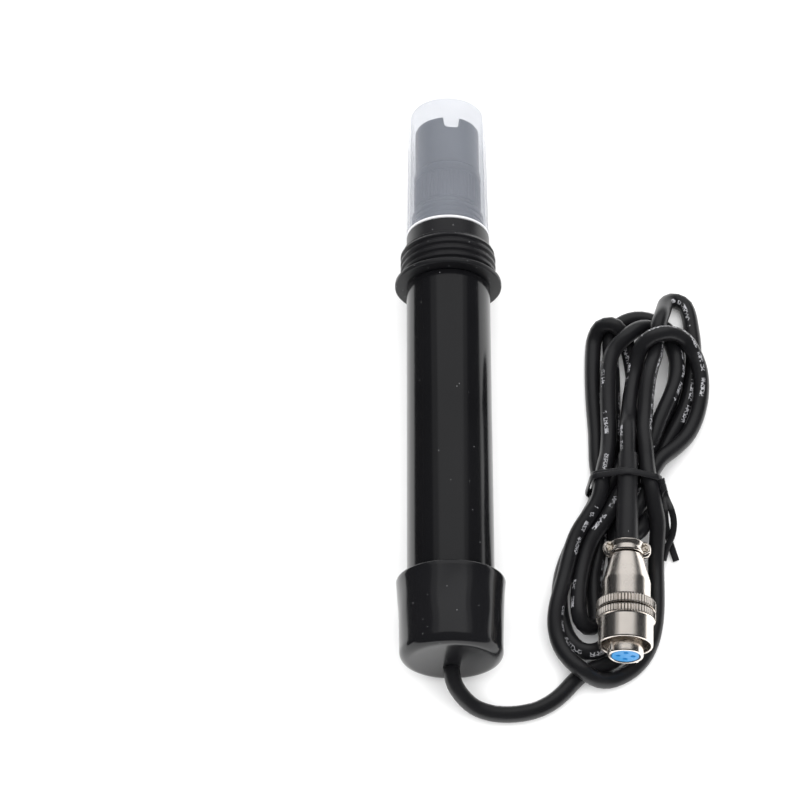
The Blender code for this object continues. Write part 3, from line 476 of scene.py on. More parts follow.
def metal(name, color, low, high):
    """Plated or drawn metal: bright, with a fine grain and a tint that wanders."""
    f = Finish(name, color, metallic=1.0)
    f.rough(low, high, 120.0)
    f.tint(f.group("Mottle", "Value", Scale=90.0, Low=0.0, High=1.0), tuple(c * 0.86 for c in color))
    f.bump(f.group("Grain", "Height", Fine=2200.0, Coarse=500.0, Share=0.5), 0.05, 0.00002)
    return f.material


def make_materials(look):
    """Every finish on the probe, by the record's slot names."""
    noise_group(), dust_group(), grain_group()
    black = tuple(look.black)
    m = {
        "tube_plastic": plastic("glossy black tube", black, 0.13, 0.19, 0.05, dust=0.012, ior=1.42),
        "cap_vinyl": plastic(
            "soft black end cap", tuple(c * 1.3 for c in black), 0.12, 0.2, 0.12, dust=0.02, ior=1.46
        ),
        "head_plastic": plastic(
            "satin black head", tuple(c * 1.6 for c in black), 0.3, 0.42, 0.3, dust=0.05, ior=1.38
        ),
        "sensor_plastic": plastic("black membrane cap", (0.012, 0.013, 0.016), 0.35, 0.5, 0.2),
        "guard_plastic": plastic("black guard", (0.014, 0.015, 0.018), 0.35, 0.5, 0.2),
        "sleeve_plastic": plastic(
            "shrunk sleeve", tuple(c * 1.5 for c in black), 0.38, 0.5, 0.4, dust=0.03
        ),
        "tie_plastic": plastic("tie strip", tuple(c * 1.5 for c in black), 0.3, 0.42, 0.2),
        "seal_rubber": plastic("seal rubber", (0.015, 0.015, 0.016), 0.5, 0.65, 0.3),
        "insert_blue": plastic("blue contact insert", tuple(look.insert_blue), 0.28, 0.4, 0.15, shade=1.12),
        "potting_resin": plastic("potting resin", (0.02, 0.02, 0.024), 0.2, 0.35, 0.2),
        "board_green": plastic("circuit board", (0.01, 0.12, 0.05), 0.3, 0.45, 0.3),
        "chip_black": plastic("chip", (0.02, 0.02, 0.02), 0.5, 0.6, 0.3),
        "membrane_film": plastic("membrane film", (0.75, 0.76, 0.78), 0.15, 0.3, 0.2, shade=1.1),
        "plug_nickel": metal("nickel plate", tuple(look.nickel), 0.2, 0.3),
        "screw_steel": metal("screw plate", (0.8, 0.72, 0.62), 0.14, 0.26),
        "contact_gold": metal("gilt contact", (0.85, 0.62, 0.25), 0.15, 0.3),
        "electrode_silver": metal("silver electrode", (0.8, 0.8, 0.79), 0.25, 0.4),
    }
    for slot, color in (
        ("wire_white", (0.8, 0.8, 0.78)),
        ("wire_red", (0.55, 0.02, 0.02)),
        ("wire_black", (0.015, 0.015, 0.015)),
        ("wire_yellow", (0.75, 0.5, 0.03)),
    ):
        m[slot] = plastic(slot.replace("_", " "), color, 0.35, 0.5, 0.2, shade=1.1)
    m["storage_plastic"] = veil("clear storage cap", tuple(look.veil_color), look.veil)
    m["cord_jacket"] = jacket(tuple(c * 1.3 for c in black))
    return m


def veil(name, color, cover):
    """Milky clear plastic: a thin white veil that hides more of what is behind it where it is seen
    edge-on. A pale band at its mouth is a painted highlight, the bright rim line there, and it is
    also more opaque."""
    f = Finish(name, color, roughness=0.3, ior=1.45)
    f.rough(0.25, 0.4)
    milk = f.tint(
        f.group("Mottle", "Value", Scale=50.0, Low=0.0, High=1.0),
        tuple(min(1.0, c * 1.04) for c in color),
    )
    edge = add(f.tree, "ShaderNodeLayerWeight", in_Blend=0.35)
    cloud = f.group("Mottle", "Value", Scale=45.0, Low=cover * 0.85, High=cover * 1.15)
    rise = calc(f.tree, "POWER", edge.outputs["Facing"], 3.0)
    more = calc(f.tree, "MULTIPLY_ADD", rise, 0.45, cloud)
    spot = add(f.tree, "ShaderNodeSeparateXYZ", [("Vector", f.place)])
    # lip: the band at the mouth; it carries a painted highlight, the bright rim line, and more opacity
    lip = calc(f.tree, "LESS_THAN", spot.outputs["Y"], ends("storage_cap")[0] + 0.5 * MM)
    f.feed("Alpha", calc(f.tree, "MULTIPLY_ADD", lip, 0.55, more))
    # Painted highlight: the mouth band is tinted pale grey-white
    f.tint(lip, (0.86, 0.86, 0.88), milk)
    f.bump(f.group("Grain", "Height", Fine=900.0, Coarse=150.0, Share=0.3), 0.02)
    return f.material


def jacket(color):
    """Cord jacket: satin black, with a row of short pale marks along one side, from the cord's own UV
    map."""
    f = Finish("cord jacket", color)
    f.rough(0.32, 0.44, 80.0)
    uv = add(f.tree, "ShaderNodeSeparateXYZ", [("Vector", f.uv)])
    round_it = calc(f.tree, "MULTIPLY", uv.outputs["X"], CORD_RADIUS * TAU)
    flat = add(f.tree, "ShaderNodeCombineXYZ", [("X", uv.outputs["Y"]), ("Y", round_it)])
    long = add(f.tree, "ShaderNodeCombineXYZ", [("X", uv.outputs["Y"])])
    strokes = add(
        f.tree,
        "ShaderNodeTexVoronoi",
        [("Vector", flat.outputs[0])],
        feature="DISTANCE_TO_EDGE",
        in_Scale=1250.0,
    )
    dash = calc(f.tree, "LESS_THAN", strokes.outputs["Distance"], 0.1)
    spaces = add(f.tree, "ShaderNodeTexNoise", [("Vector", long.outputs[0])], in_Scale=420.0, in_Detail=0.0)
    letter = calc(f.tree, "GREATER_THAN", spaces.outputs["Fac"], 0.45)
    words = add(f.tree, "ShaderNodeTexNoise", [("Vector", long.outputs[0])], in_Scale=70.0, in_Detail=0.0)
    word = calc(f.tree, "MULTIPLY", calc(f.tree, "GREATER_THAN", words.outputs["Fac"], 0.5), letter)
    off = calc(f.tree, "SUBTRACT", calc(f.tree, "FRACT", uv.outputs["X"]), 0.5)
    band = calc(f.tree, "LESS_THAN", calc(f.tree, "ABSOLUTE", off), 0.042)
    mask = calc(f.tree, "MULTIPLY", calc(f.tree, "MULTIPLY", dash, word), band)
    worn = calc(f.tree, "MULTIPLY", mask, f.group("Mottle", "Value", Scale=500.0, Low=0.2, High=0.75))
    base = f.tint(f.group("Mottle", "Value", Scale=40.0, Low=0.0, High=1.0), tuple(c * 1.4 for c in color))
    f.tint(worn, (0.55, 0.55, 0.58), base)
    f.bump(f.group("Grain", "Height", Fine=2400.0, Coarse=300.0, Share=0.4), 0.25)
    return f.material


# Shapes along the probe


def make_tube(look):
    """Handle tube: a hollow cylinder with rounded rims and the spigot that enters the head, slightly
    uneven by sines of the angle and distance."""
    low, high = ends("probe_tube")
    r = reach("probe_tube")
    shoulder = ends("head_body")[0] - look.gap
    spigot = r - 0.8 * MM
    wall = 1.8 * MM

    def uneven(along, angle, radius):
        swell = 0.012 * MM * np.sin(along / (9 * MM)) + 0.01 * MM * np.sin(2 * angle + along / (31 * MM))
        return radius + np.where(radius > r - 0.1 * MM, swell, 0)

    outer = [
        (low, r - wall), (low, r), (shoulder, r), (shoulder, spigot), (high, spigot), (high, r - wall),
        (low, r - wall),
    ]
    profile = fine(rounded(outer, 0.3 * MM), 2.5 * MM)
    return make_piece(
        "handle_tube", [lathe(profile, PROBE_PLACE, 160, uneven)], "probe", "tube_plastic",
        ["probe_tube"],
    )


def make_end_cap(look):
    """Soft end cap: a deep cup with a flared lip, a rounded foot and a faint ripple where it is
    stretched over the tube."""
    low, rim = ends("end_cap")
    tube_low, _ = ends("probe_tube")
    tube = reach("probe_tube")
    lip = reach("end_cap")
    bore = tube + look.gap
    foot = lip - look.cap_flare
    floor = tube_low - look.gap - 0.1 * MM

    def ripple(along, angle, radius):
        share = np.clip((along - low) / (rim - low), 0, 1)
        wave = np.sin(5 * angle + 1.3) * np.sin(along / (3.1 * MM))
        wave = wave + 0.7 * np.sin(9 * angle) * np.sin(along / (2.2 * MM) + 1.0)
        return radius + np.where(
            radius > bore + 0.4 * MM, look.cap_ripple * wave * np.sin(math.pi * share) ** 0.5, 0
        )

    corner = look.cap_corner
    turn = np.linspace(0, math.pi / 2, 12)
    bend = np.stack([low + corner * (1 - np.sin(turn)), foot - corner * (1 - np.cos(turn))], 1)[::-1]
    wall = np.linspace(0, 1, 24)
    flare = np.stack(
        [low + corner + wall * (rim - 0.6 * MM - low - corner), foot + look.cap_flare * wall**2.2], 1
    )
    lip_turn = np.linspace(0, math.pi, 9)
    lip_wall = (lip - bore) / 2
    lip_round = np.stack(
        [rim - 0.6 * MM + 0.6 * MM * np.sin(lip_turn), bore + lip_wall + lip_wall * np.cos(lip_turn)], 1
    )
    out = np.linspace(0, 1, 12)
    crown = np.stack([low + 0.3 * MM - 0.3 * MM * out**2, (foot - corner) * out], 1)
    inner = np.array([(floor + 0.5 * MM, bore), (floor, bore - 0.5 * MM), (floor, 0.0)])
    profile = np.vstack([crown, bend[1:], flare[1:], lip_round[1:], inner])
    return make_piece(
        "end_cap_shell", [lathe(profile, PROBE_PLACE, 144, ripple)], "probe", "cap_vinyl", ["end_cap"]
    )


def make_head(look):
    """Threaded head: flange, helical thread, plain shoulder, ribbed seal seat and neck. The thread's
    radius is root + height * rounded wave of (distance / pitch - angle / turn)."""
    low, high = ends("head_body")
    flange = reach("head_body")
    flange_end = low + 1.4 * MM
    thread_end = flange_end + 9.1 * MM
    seal_start, seal_end = thread_end + 4.5 * MM, thread_end + 11.0 * MM
    root, crest = flange - 2.1 * MM, flange - 1.45 * MM
    shoulder = reach("storage_cap") + 0.05 * MM
    seal = reach("membrane_cap") + 0.65 * MM
    neck = reach("membrane_cap") - 1.45 * MM
    socket = reach("probe_tube") - 0.5 * MM
    stem = 4.3 * MM
    collar = 6.6 * MM

    def thread(along, angle, radius):
        phase = (along - flange_end) / look.thread_pitch - angle / TAU
        wave = np.abs(phase % 1.0 - 0.5) * 2
        ridge = np.clip((wave - 0.3) / 0.4, 0, 1)
        ridge = ridge * ridge * (3 - 2 * ridge)
        run_in = np.clip((along - flange_end + 0.1 * MM) / (0.9 * MM), 0, 1)
        fade = run_in * np.clip((thread_end - 0.2 * MM - along) / (1.2 * MM), 0, 1)
        on_thread = (
            (radius > root - 0.05 * MM) & (radius < crest) & (along > flange_end) & (along < thread_end)
        )
        return radius + np.where(on_thread, (crest - root) * ridge * fade, 0)

    seal_marks = []
    for i in range(4):
        a = seal_start + 0.25 * MM + i * 1.5 * MM
        seal_marks += [
            (a, seal - 0.45 * MM), (a + 0.25 * MM, seal - 0.05 * MM), (a + 0.5 * MM, seal),
            (a + 0.95 * MM, seal), (a + 1.2 * MM, seal - 0.05 * MM), (a + 1.4 * MM, seal - 0.45 * MM),
        ]
    outside = [
        (low, socket),
        (low, flange),
        (flange_end, flange),
        (flange_end, root),
        (thread_end, root),
        (thread_end, shoulder),
        (seal_start, shoulder),
        (seal_start, seal - 0.45 * MM),
        *seal_marks,
        (seal_end, seal - 0.45 * MM),
        (seal_end, neck),
        (high, neck),
        (high, stem + 0.3 * MM),
        (low + 8.0 * MM, stem + 0.3 * MM),
        (low + 8.0 * MM, collar + 0.3 * MM),
        (low + 5.0 * MM, collar + 0.3 * MM),
        (low + 5.0 * MM, socket),
        (low, socket),
    ]
    radii = np.full(len(outside), 0.2 * MM)
    radii[1:3] = 0.45 * MM
    profile = rounded(outside, radii, 4)
    along, radius = profile.T
    in_thread = (radius > root - 0.1 * MM) & (radius < root + 0.05 * MM)
    in_thread &= (along >= flange_end - MERGE) & (along <= thread_end + MERGE)
    first, last = np.flatnonzero(in_thread)[[0, -1]]
    profile = np.vstack([profile[:first], fine(profile[first : last + 1], 0.12 * MM), profile[last + 1 :]])
    return make_piece(
        "threaded_head", [lathe(profile, PROBE_PLACE, 128, thread)], "probe", "head_plastic",
        ["head_body"], 50,
    )


def make_membrane_cap(look):
    """Membrane cap: a short sleeve whose rear two thirds carry grip ribs, r + height * rounded square
    wave of the angle, and a plain band in front."""
    low, high = ends("membrane_cap")
    r = reach("membrane_cap")
    bore = r - 1.05 * MM
    grip_end = low + 0.72 * (high - low)

    def grip(along, angle, radius):
        wave = np.clip(np.cos(look.grip_ribs * angle) * 1.6, -1, 1)
        on = (radius > r - 0.5 * MM) & (along > low + 0.3 * MM) & (along < grip_end)
        return radius + np.where(on, 0.16 * MM * (wave - 1), 0)

    groove = [
        (grip_end, r), (grip_end + 0.3 * MM, r - 0.35 * MM), (grip_end + 0.7 * MM, r - 0.35 * MM),
        (grip_end + 1.0 * MM, r),
    ]
    profile = rounded(
        [
            (low, bore), (low, r - 0.3 * MM), (low + 0.4 * MM, r), *groove, (high - 0.3 * MM, r),
            (high, r - 0.3 * MM), (high, bore), (low, bore),
        ],
        0.15 * MM,
        3,
    )
    return make_piece(
        "membrane_cap_shell",
        [lathe(fine(profile, 0.5 * MM), PROBE_PLACE, 288, grip)],
        "membrane_cap",
        "sensor_plastic",
        ["membrane_cap"],
        50,
    )


def make_guard(look):
    """Guard: a short tube over the sensing face, its rim cut by three U notches, with a lip inside near
    its foot."""
    low, high = ends("guard_cage")
    r = reach("guard_cage")
    wall = 1.0 * MM
    lip_low, lip_high, lip_bore = low + 3.1 * MM, low + 4.4 * MM, 5.4 * MM

    turned = math.radians(8)

    def notched(angle):
        """The rim drops into three U notches: rim = top - depth * U(angle)."""
        width = look.notch_width / r
        off = (angle - turned + math.pi / 3) % (TAU / 3) - math.pi / 3
        inside = np.clip(1 - (np.abs(off) / (width / 2)) ** 4, 0, 1) ** 0.35
        return high - look.notch_depth * inside

    third = np.concatenate([np.linspace(-0.34, 0.34, 41), np.linspace(0.4, TAU / 3 - 0.4, 28)])
    angle = np.concatenate([turned + k * TAU / 3 + third for k in range(3)])
    rim = notched(angle)
    share = [(low, r - wall, 0), (low, r, 0)]
    share += [(low, r, s) for s in np.linspace(0.02, 0.96, 14)]
    share += [(low, r - 0.25 * wall, 1), (low, r - 0.75 * wall, 1)]
    share += [(low, r - wall, s) for s in np.linspace(0.96, 0.4, 9)]
    a = np.array([s[0] + (rim - s[0]) * s[2] for s in share])
    rr = np.array([np.full(len(angle), s[1]) for s in share])
    lip = np.array([(lip_high, r - wall), (lip_high, lip_bore), (lip_low, lip_bore), (lip_low, r - wall)])
    a = np.vstack([a, *[np.full((1, len(angle)), x) for x, _ in lip], a[:1]])
    rr = np.vstack([rr, *[np.full((1, len(angle)), x) for _, x in lip], rr[:1]])
    side = np.cross(PROBE_AXIS, UP)
    way = np.cos(angle)[:, None] * UP + np.sin(angle)[:, None] * side
    points = PROBE_ORIGIN + a[..., None] * PROBE_AXIS + rr[..., None] * way
    return make_piece(
        "guard_shell", [grid_part(points)], "membrane_cap", "guard_plastic", ["guard_cage"], 40
    )


def make_storage_cap(look):
    """Storage cap: a thin clear cup, tapered to a rounded end, with a thicker lip at its mouth and a
    faint step inside."""
    low, high = ends("storage_cap")
    mouth = reach("storage_cap")
    tip = mouth - look.cap_taper
    bore = reach("membrane_cap") + 0.95 * MM
    wall, end_wall = look.cap_wall, 1.2 * MM
    corner = 1.0 * MM
    inner_corner = 1.0 * MM
    turn = np.linspace(0, math.pi / 2, 10)
    outer = np.array(
        [
            (low, bore), (low, mouth - 0.15 * MM), (low + 0.15 * MM, mouth), (low + 1.4 * MM, mouth),
            (low + 1.7 * MM, mouth - 0.12 * MM), (high - corner, tip),
        ]
    )
    round_out = np.stack([high - corner + corner * np.sin(turn), tip - corner + corner * np.cos(turn)], 1)
    crown = np.array([(high, tip - corner - 0.3 * MM), (high - 0.15 * MM, 0.0)])
    back = np.array([(high - end_wall, 0.0)])
    top_in = tip - wall
    round_in = np.stack(
        [
            high - end_wall - inner_corner + inner_corner * np.cos(turn),
            top_in - inner_corner + inner_corner * np.sin(turn),
        ],
        1,
    )
    inner = np.array(
        [(low + 2.0 * MM, mouth - 0.12 * MM - wall), (low + 1.2 * MM, bore + 0.05 * MM), (low, bore)]
    )
    first = fine(np.vstack([outer, round_out[1:], crown]), 2.0 * MM)
    second = fine(np.vstack([back, round_in, inner]), 2.0 * MM)
    profile = np.vstack([first, second])
    return make_piece(
        "storage_cap_shell", [lathe(profile, PROBE_PLACE, 128)], "storage_cap", "storage_plastic",
        ["storage_cap"], 30,
    )


def make_seal(look):
    """Seal ring: a torus round the neck, in front of the seal seat."""
    low, high = ends("membrane_o_ring")
    r = reach("membrane_o_ring")
    small = (high - low) / 2
    turn = np.linspace(0, TAU, 17)
    profile = np.stack([(low + high) / 2 + small * np.cos(turn), r - small + small * np.sin(turn)], 1)
    return make_piece(
        "seal_ring", [lathe(profile, PROBE_PLACE, 96)], "membrane_seal", "seal_rubber",
        ["membrane_o_ring"],
    )


# The cord

# In millimetres. The first ten points follow the free stretch in the part's source, the tenth 0.6 mm off it.
# The rest is the hank, a plain list of positions pass by pass. Its turns are not worked out by a loop.
CORD_ROUTE = [
    (0, -79, 8.8), (0.3, -81.6, 8.4), (1.9, -84.4, 6.6), (5.4, -86.9, 3.5), (10.2, -88.3, 2.3),
    (15.6, -88.4, 2.1), (20.8, -87.4, 2.1), (25.4, -85.3, 2.1), (28.2, -82.7, 2.1), (30.4, -80, 2.1),
    (33, -77.5, 2.1), (36.5, -75.2, 2.1), (40, -72.8, 2.1), (43.2, -69.8, 2.1), (45.6, -66, 2.1),
    (46.8, -60, 2.1), (47, -52, 2.1), (46, -44, 2.1), (43.8, -36, 2.1), (43.2, -28, 2.1),
    (42.6, -20, 2.1), (42, -12, 2.1), (42.2, -4, 2.1), (42.3, 5, 2.1), (42.6, 13.4, 2.1),
    (43.9, 19.2, 2.1), (46.4, 22.4, 2.1), (49.8, 23.6, 2.1), (53, 22.7, 2.1), (56, 19.6, 2.1),
    (58.4, 15.5, 2.1), (59.3, 9, 2.1), (58.8, 3, 2.1), (57, -3, 2.1), (54.2, -9, 2.1), (50.5, -16, 2.1),
    (46.8, -23, 3.5), (44.4, -29, 4.5), (42.2, -37, 3.2), (41.6, -46, 2.2), (41.8, -56, 2.1),
    (41.6, -64, 2.2), (40.9, -69.6, 3.2), (38.6, -73.2, 5.2), (35.4, -74.4, 6.2), (31.8, -72.9, 5.8),
    (29.2, -69.3, 4), (27.5, -65, 2.4), (26.9, -60.5, 2.1), (27.6, -53.8, 2.1), (29.5, -47, 2.1),
    (31.9, -40.4, 2.4), (37.4, -33.8, 2.1), (39.4, -27.6, 2.1), (39.1, -21, 2.1), (37.9, -12, 2.1),
    (37.4, -1.4, 2.1), (37.4, 7.5, 2.1), (37.8, 13.4, 2.1), (38.7, 17, 2.1), (40.3, 19.4, 3),
    (42.4, 19.6, 4.5), (44.8, 17.8, 4), (46.9, 12.8, 3), (48, 6, 2.4), (48.5, -1.4, 2.1),
    (48.6, -11.5, 2.1), (47.4, -20, 3.2), (45, -27.6, 5), (41.5, -34, 4.5), (38.2, -42, 3),
    (36, -52, 2.3), (36, -60, 2.4), (35.9, -65.6, 3.4), (34, -67.8, 5.2), (32.2, -64.6, 6.3),
    (31.9, -57, 6.3), (32.9, -49, 6.3), (35.4, -42, 6.3), (40, -35, 6.3), (45, -28, 6.6),
    (49.5, -21.3, 6.3), (52.8, -11.3, 6), (54.4, -8.2, 6), (57.1, -2.4, 6.2), (58.5, 1.4, 6.3),
    (59.3, 4.5, 6.3), (59.4, 8, 6.3), (58.9, 13.4, 6.3), (57.4, 17, 6.3), (55.1, 18.9, 6.3),
    (52.1, 19.2, 6.3), (50, 19, 6.3), (47.9, 18.6, 6.3), (45.5, 17.3, 6.5), (43.6, 14.8, 6.5),
    (42.3, 11.2, 6.4), (41.5, 5.3, 6.4), (41, -3.7, 6.6), (40.7, -14.6, 7.6), (40, -22.8, 9),
    (38.6, -29.7, 9.6), (35.2, -36.3, 8.6), (31.4, -43.9, 7), (28.2, -54.2, 6), (26.9, -59.4, 5.6),
    (26.1, -63.4, 5.6), (26.2, -67.7, 6), (27.1, -71.9, 6.3), (28.7, -75.3, 6.3), (30.9, -77.9, 6),
    (33.7, -79.4, 4.6), (36.7, -79.9, 3), (39.2, -79.7, 2.1), (42.2, -78.7, 2.1), (44.9, -77, 2.1),
    (47.2, -74.6, 2.1), (49.1, -71.4, 2.1), (50.3, -67.9, 2.1), (51.1, -63.8, 2.1), (51.5, -59.2, 2.1),
    (51.6, -55.4, 2.4), (51.8, -45.5, 4), (51.6, -40.5, 6), (50.8, -34.4, 8.4), (49.8, -28.7, 9.8),
    (49.6, -22, 10), (49.6, -15.1, 9.4), (50.4, -4.8, 9.8), (51.1, 0.8, 10.4), (51.7, 4.6, 10.6),
    (52.4, 8.8, 10.6), (53.9, 14, 10.4), (55.8, 20, 8), (57, 25.4, 5.2), (58.3, 28.6, 3.6),
    (60, 29.8, 2.6), (61.8, 28.6, 2.1), (63, 25, 2.1), (63.3, 20.9, 2.1), (64, 17.3, 2.1),
    (64.2, 13.4, 2.1), (63.6, 6, 2.1), (62.9, 1.6, 2.1), (61.7, -1.9, 2.1), (60.1, -5.7, 2.1),
    (57.6, -10.5, 2.1), (54.4, -16, 2.1), (51.6, -22, 2.1), (49.4, -29, 2.4), (47, -36, 4),
    (44.9, -41, 5.5), (42.4, -41.6, 6.3), (42, -38, 6.5), (45.5, -32, 6), (50.2, -28.4, 5.6),
    (54, -23.6, 5), (57.6, -18.6, 4.8), (61.2, -12.8, 4.8), (62.7, -9.9, 4.9), (64, -6.4, 5.2),
    (65, -2.6, 5.6), (65.2, 1.5, 6), (65, 5, 6.2), (64.2, 8, 6.4), (63, 10.8, 6.6), (61.4, 12.9, 7.4),
    (59.1, 14, 9), (56.8, 14.3, 10.4), (54.4, 13.7, 10.8), (52.3, 12.4, 10), (50.4, 10.2, 8.6),
    (48.8, 6.5, 7.4), (47.5, 1.9, 7), (46.4, -4.5, 8), (45.7, -11.1, 9.6), (45.2, -16, 10.8),
    (45, -20.6, 11.5),
]
CORD_RADIUS = 2.05 * MM
CORD_CLEARANCE = 0.04 * MM
TIE_Y = -27.8 * MM
TIE_SPAN = 5 * MM
WAIST = (38.0 * MM, 50.8 * MM)
HELD_AT_START, HELD_AT_END = 14, 4


def plug_reach(along):
    """Outer radius of the plug at a distance along its axis, from its clamp to its nose."""
    stations = np.array([-30, -0.6, -0.5, 3.1, 3.2, 10.7, 15.8, 16.0, 27.7, 30.4, 30.5]) * MM
    radii = np.array([2.9, 2.9, 4.4, 4.4, 4.0, 6.0, 6.0, 7.35, 7.35, 7.0, 0]) * MM
    return np.interp(along, stations, radii)


def settle(points, fixed, rounds=420):
    """Lets the cord lie without running through itself: stretches nearer than a diameter push apart,
    bends even out, the surface holds it up and the plug keeps it clear. Worked out for all points at
    once, over and over."""
    home = points.copy()
    count = len(points)
    spacing = np.linalg.norm(np.diff(points, axis=0), axis=1).mean()
    index = np.arange(count)
    far = np.abs(index[:, None] - index[None]) * spacing > 2.6 * CORD_RADIUS
    near = 2 * CORD_RADIUS + CORD_CLEARANCE
    for k in range(rounds):
        ease = 1 - k / rounds
        gap = points[:, None] - points[None]
        distance = np.linalg.norm(gap, axis=2) + 1e-9
        push = np.where(far & (distance < near), (near - distance) / distance, 0)
        touching = np.maximum((push > 0).sum(1), 1)[:, None]
        points = points + 0.6 * (gap * push[..., None]).sum(1) / touching**0.7
        even_out = np.zeros_like(points)
        even_out[1:-1] = (points[:-2] + points[2:]) / 2 - points[1:-1]
        bend = np.zeros_like(points)
        bend[2:-2] = -(even_out[1:-3] + even_out[3:-1] - 2 * even_out[2:-2]) / 2
        points = points + even_out * (0.01 + 0.05 * ease) + 0.12 * bend
        points = points + 0.02 * (home - points) * (0.2 + ease)
        tied = np.exp(-(((points[:, 1] - TIE_Y) / TIE_SPAN) ** 2))
        points[:, 0] += 0.15 * tied * (np.clip(points[:, 0], *WAIST) - points[:, 0])
        points[:, 2] -= 0.01 * MM
        along = (points - PLUG_ORIGIN) @ PLUG_AXIS
        away = points - PLUG_ORIGIN - along[:, None] * PLUG_AXIS
        off = np.linalg.norm(away, axis=1) + 1e-9
        need = plug_reach(along) + CORD_RADIUS + CORD_CLEARANCE
        inside = (along > -27 * MM) & (along < 31 * MM) & (off < need)
        points = points + np.where(inside, (need - off) / off, 0)[:, None] * away
        points[:, 2] = np.maximum(points[:, 2], CORD_RADIUS)
        points[fixed] = home[fixed]
    return points


def cord_centreline():
    """The whole centreline: the route, settled, then the straight end inside the sleeve and the plug."""
    route = smooth_path(np.array(CORD_ROUTE) * MM, 2.0 * MM)
    fixed = np.zeros(len(route), bool)
    fixed[:HELD_AT_START] = True
    fixed[-HELD_AT_END:] = True
    route = settle(route, fixed)
    end = PLUG_ORIGIN + PLUG_AXIS * (np.array([-20, -10, 0, 7.5]) * MM)[:, None]
    return smooth_path(np.vstack([route[::2][:-1], end]), 1.5 * MM)


def make_cord(look):
    """Lead and hank as one tube along the centreline, with a UV map: u round it, v along it in metres."""
    path = cord_centreline()
    sides = 20
    points, quads = sweep(path, CORD_RADIUS, sides)
    mesh = bpy.data.meshes.new("cord")
    mesh.from_pydata(points.tolist(), [], quads.tolist())
    rings = len(points) // sides
    length = np.concatenate([[0], np.cumsum(np.linalg.norm(np.diff(path, axis=0), axis=1))])
    v = np.interp(np.arange(rings) - 3, np.arange(len(length)), length)
    corners = np.array([p.vertices[:] for p in mesh.polygons]).reshape(-1)
    column = corners % sides
    corner = np.arange(len(corners)) % 4
    column_next = np.where((column == 0) & (corner != 0) & (corner != 3), sides, column)
    _, across, normal = path_frames(path)
    twist = np.unwrap(np.arctan2(across @ UP, normal @ UP)) / TAU
    twist = np.interp(v, length, twist)
    spin = look.print_turn - twist + 0.17 * np.sin(v / 0.033 + 0.6)
    uv = np.stack([column_next / sides + spin[corners // sides], v[corners // sides]], 1)
    layer = mesh.uv_layers.new(name="cord")
    layer.data.foreach_set("uv", uv.astype(np.float32).ravel())
    clean(mesh, dissolve=False)
    cord = finish_piece(
        "cord", mesh, "probe", "cord_jacket", ["cord_lead", "cord_hank", "cord_outer_end"], 180
    )
    return cord, path


def make_sleeve(look):
    """Shrunk sleeve over the cord's end: radius grows along it, with shallow waves where it shrank
    unevenly."""
    start, stop = -25 * MM, 5 * MM
    along = np.linspace(start, stop, 60)
    share = (along - start) / (stop - start)
    outer = 2.45 * MM + 0.42 * MM * np.clip(share * 1.15, 0, 1) ** 0.8
    outer += 0.03 * MM * np.sin(along / (1.7 * MM)) + 0.03 * MM * np.sin(along / (3.9 * MM) + 1)
    inner = outer - 0.25 * MM
    inner = np.maximum(inner, CORD_RADIUS + 0.02 * MM)
    profile = np.vstack(
        [np.stack([along, outer], 1), np.stack([along, inner], 1)[::-1], [[along[0], outer[0]]]]
    )

    def creased(a, angle, radius):
        return radius + 0.04 * MM * np.sin(3 * angle + a / (5 * MM)) * (radius > CORD_RADIUS + 0.2 * MM)

    return make_piece(
        "shrink_sleeve", [lathe(profile, PLUG_PLACE, 48, creased)], "probe", "sleeve_plastic",
        ["heat_shrink_sleeve"],
    )


def hull_ring(path, y, look):
    """The tie's loop: the tight outline round every cord and sleeve section near y, by the support
    function: the farthest reach in each of many directions."""
    near = path[np.abs(path[:, 1] - y) < 2.6 * MM][:, [0, 2]]
    sleeve = (PLUG_ORIGIN + PLUG_AXIS * (PLUG_ORIGIN[1] - y))[[0, 2]]
    centres = np.vstack([near, sleeve])
    radii = np.concatenate(
        [np.full(len(near), CORD_RADIUS), [2.6 * MM]]
    ) + look.tie_thickness / 2 + 0.02 * MM
    angle = np.arange(96) * TAU / 96
    way = np.stack([np.cos(angle), np.sin(angle)], 1)
    reach_each = centres @ way.T + radii[:, None]
    best = reach_each.argmax(0)
    outline = centres[best] + radii[best][:, None] * way
    outline[:, 1] = np.maximum(outline[:, 1], look.tie_thickness / 2)
    return outline


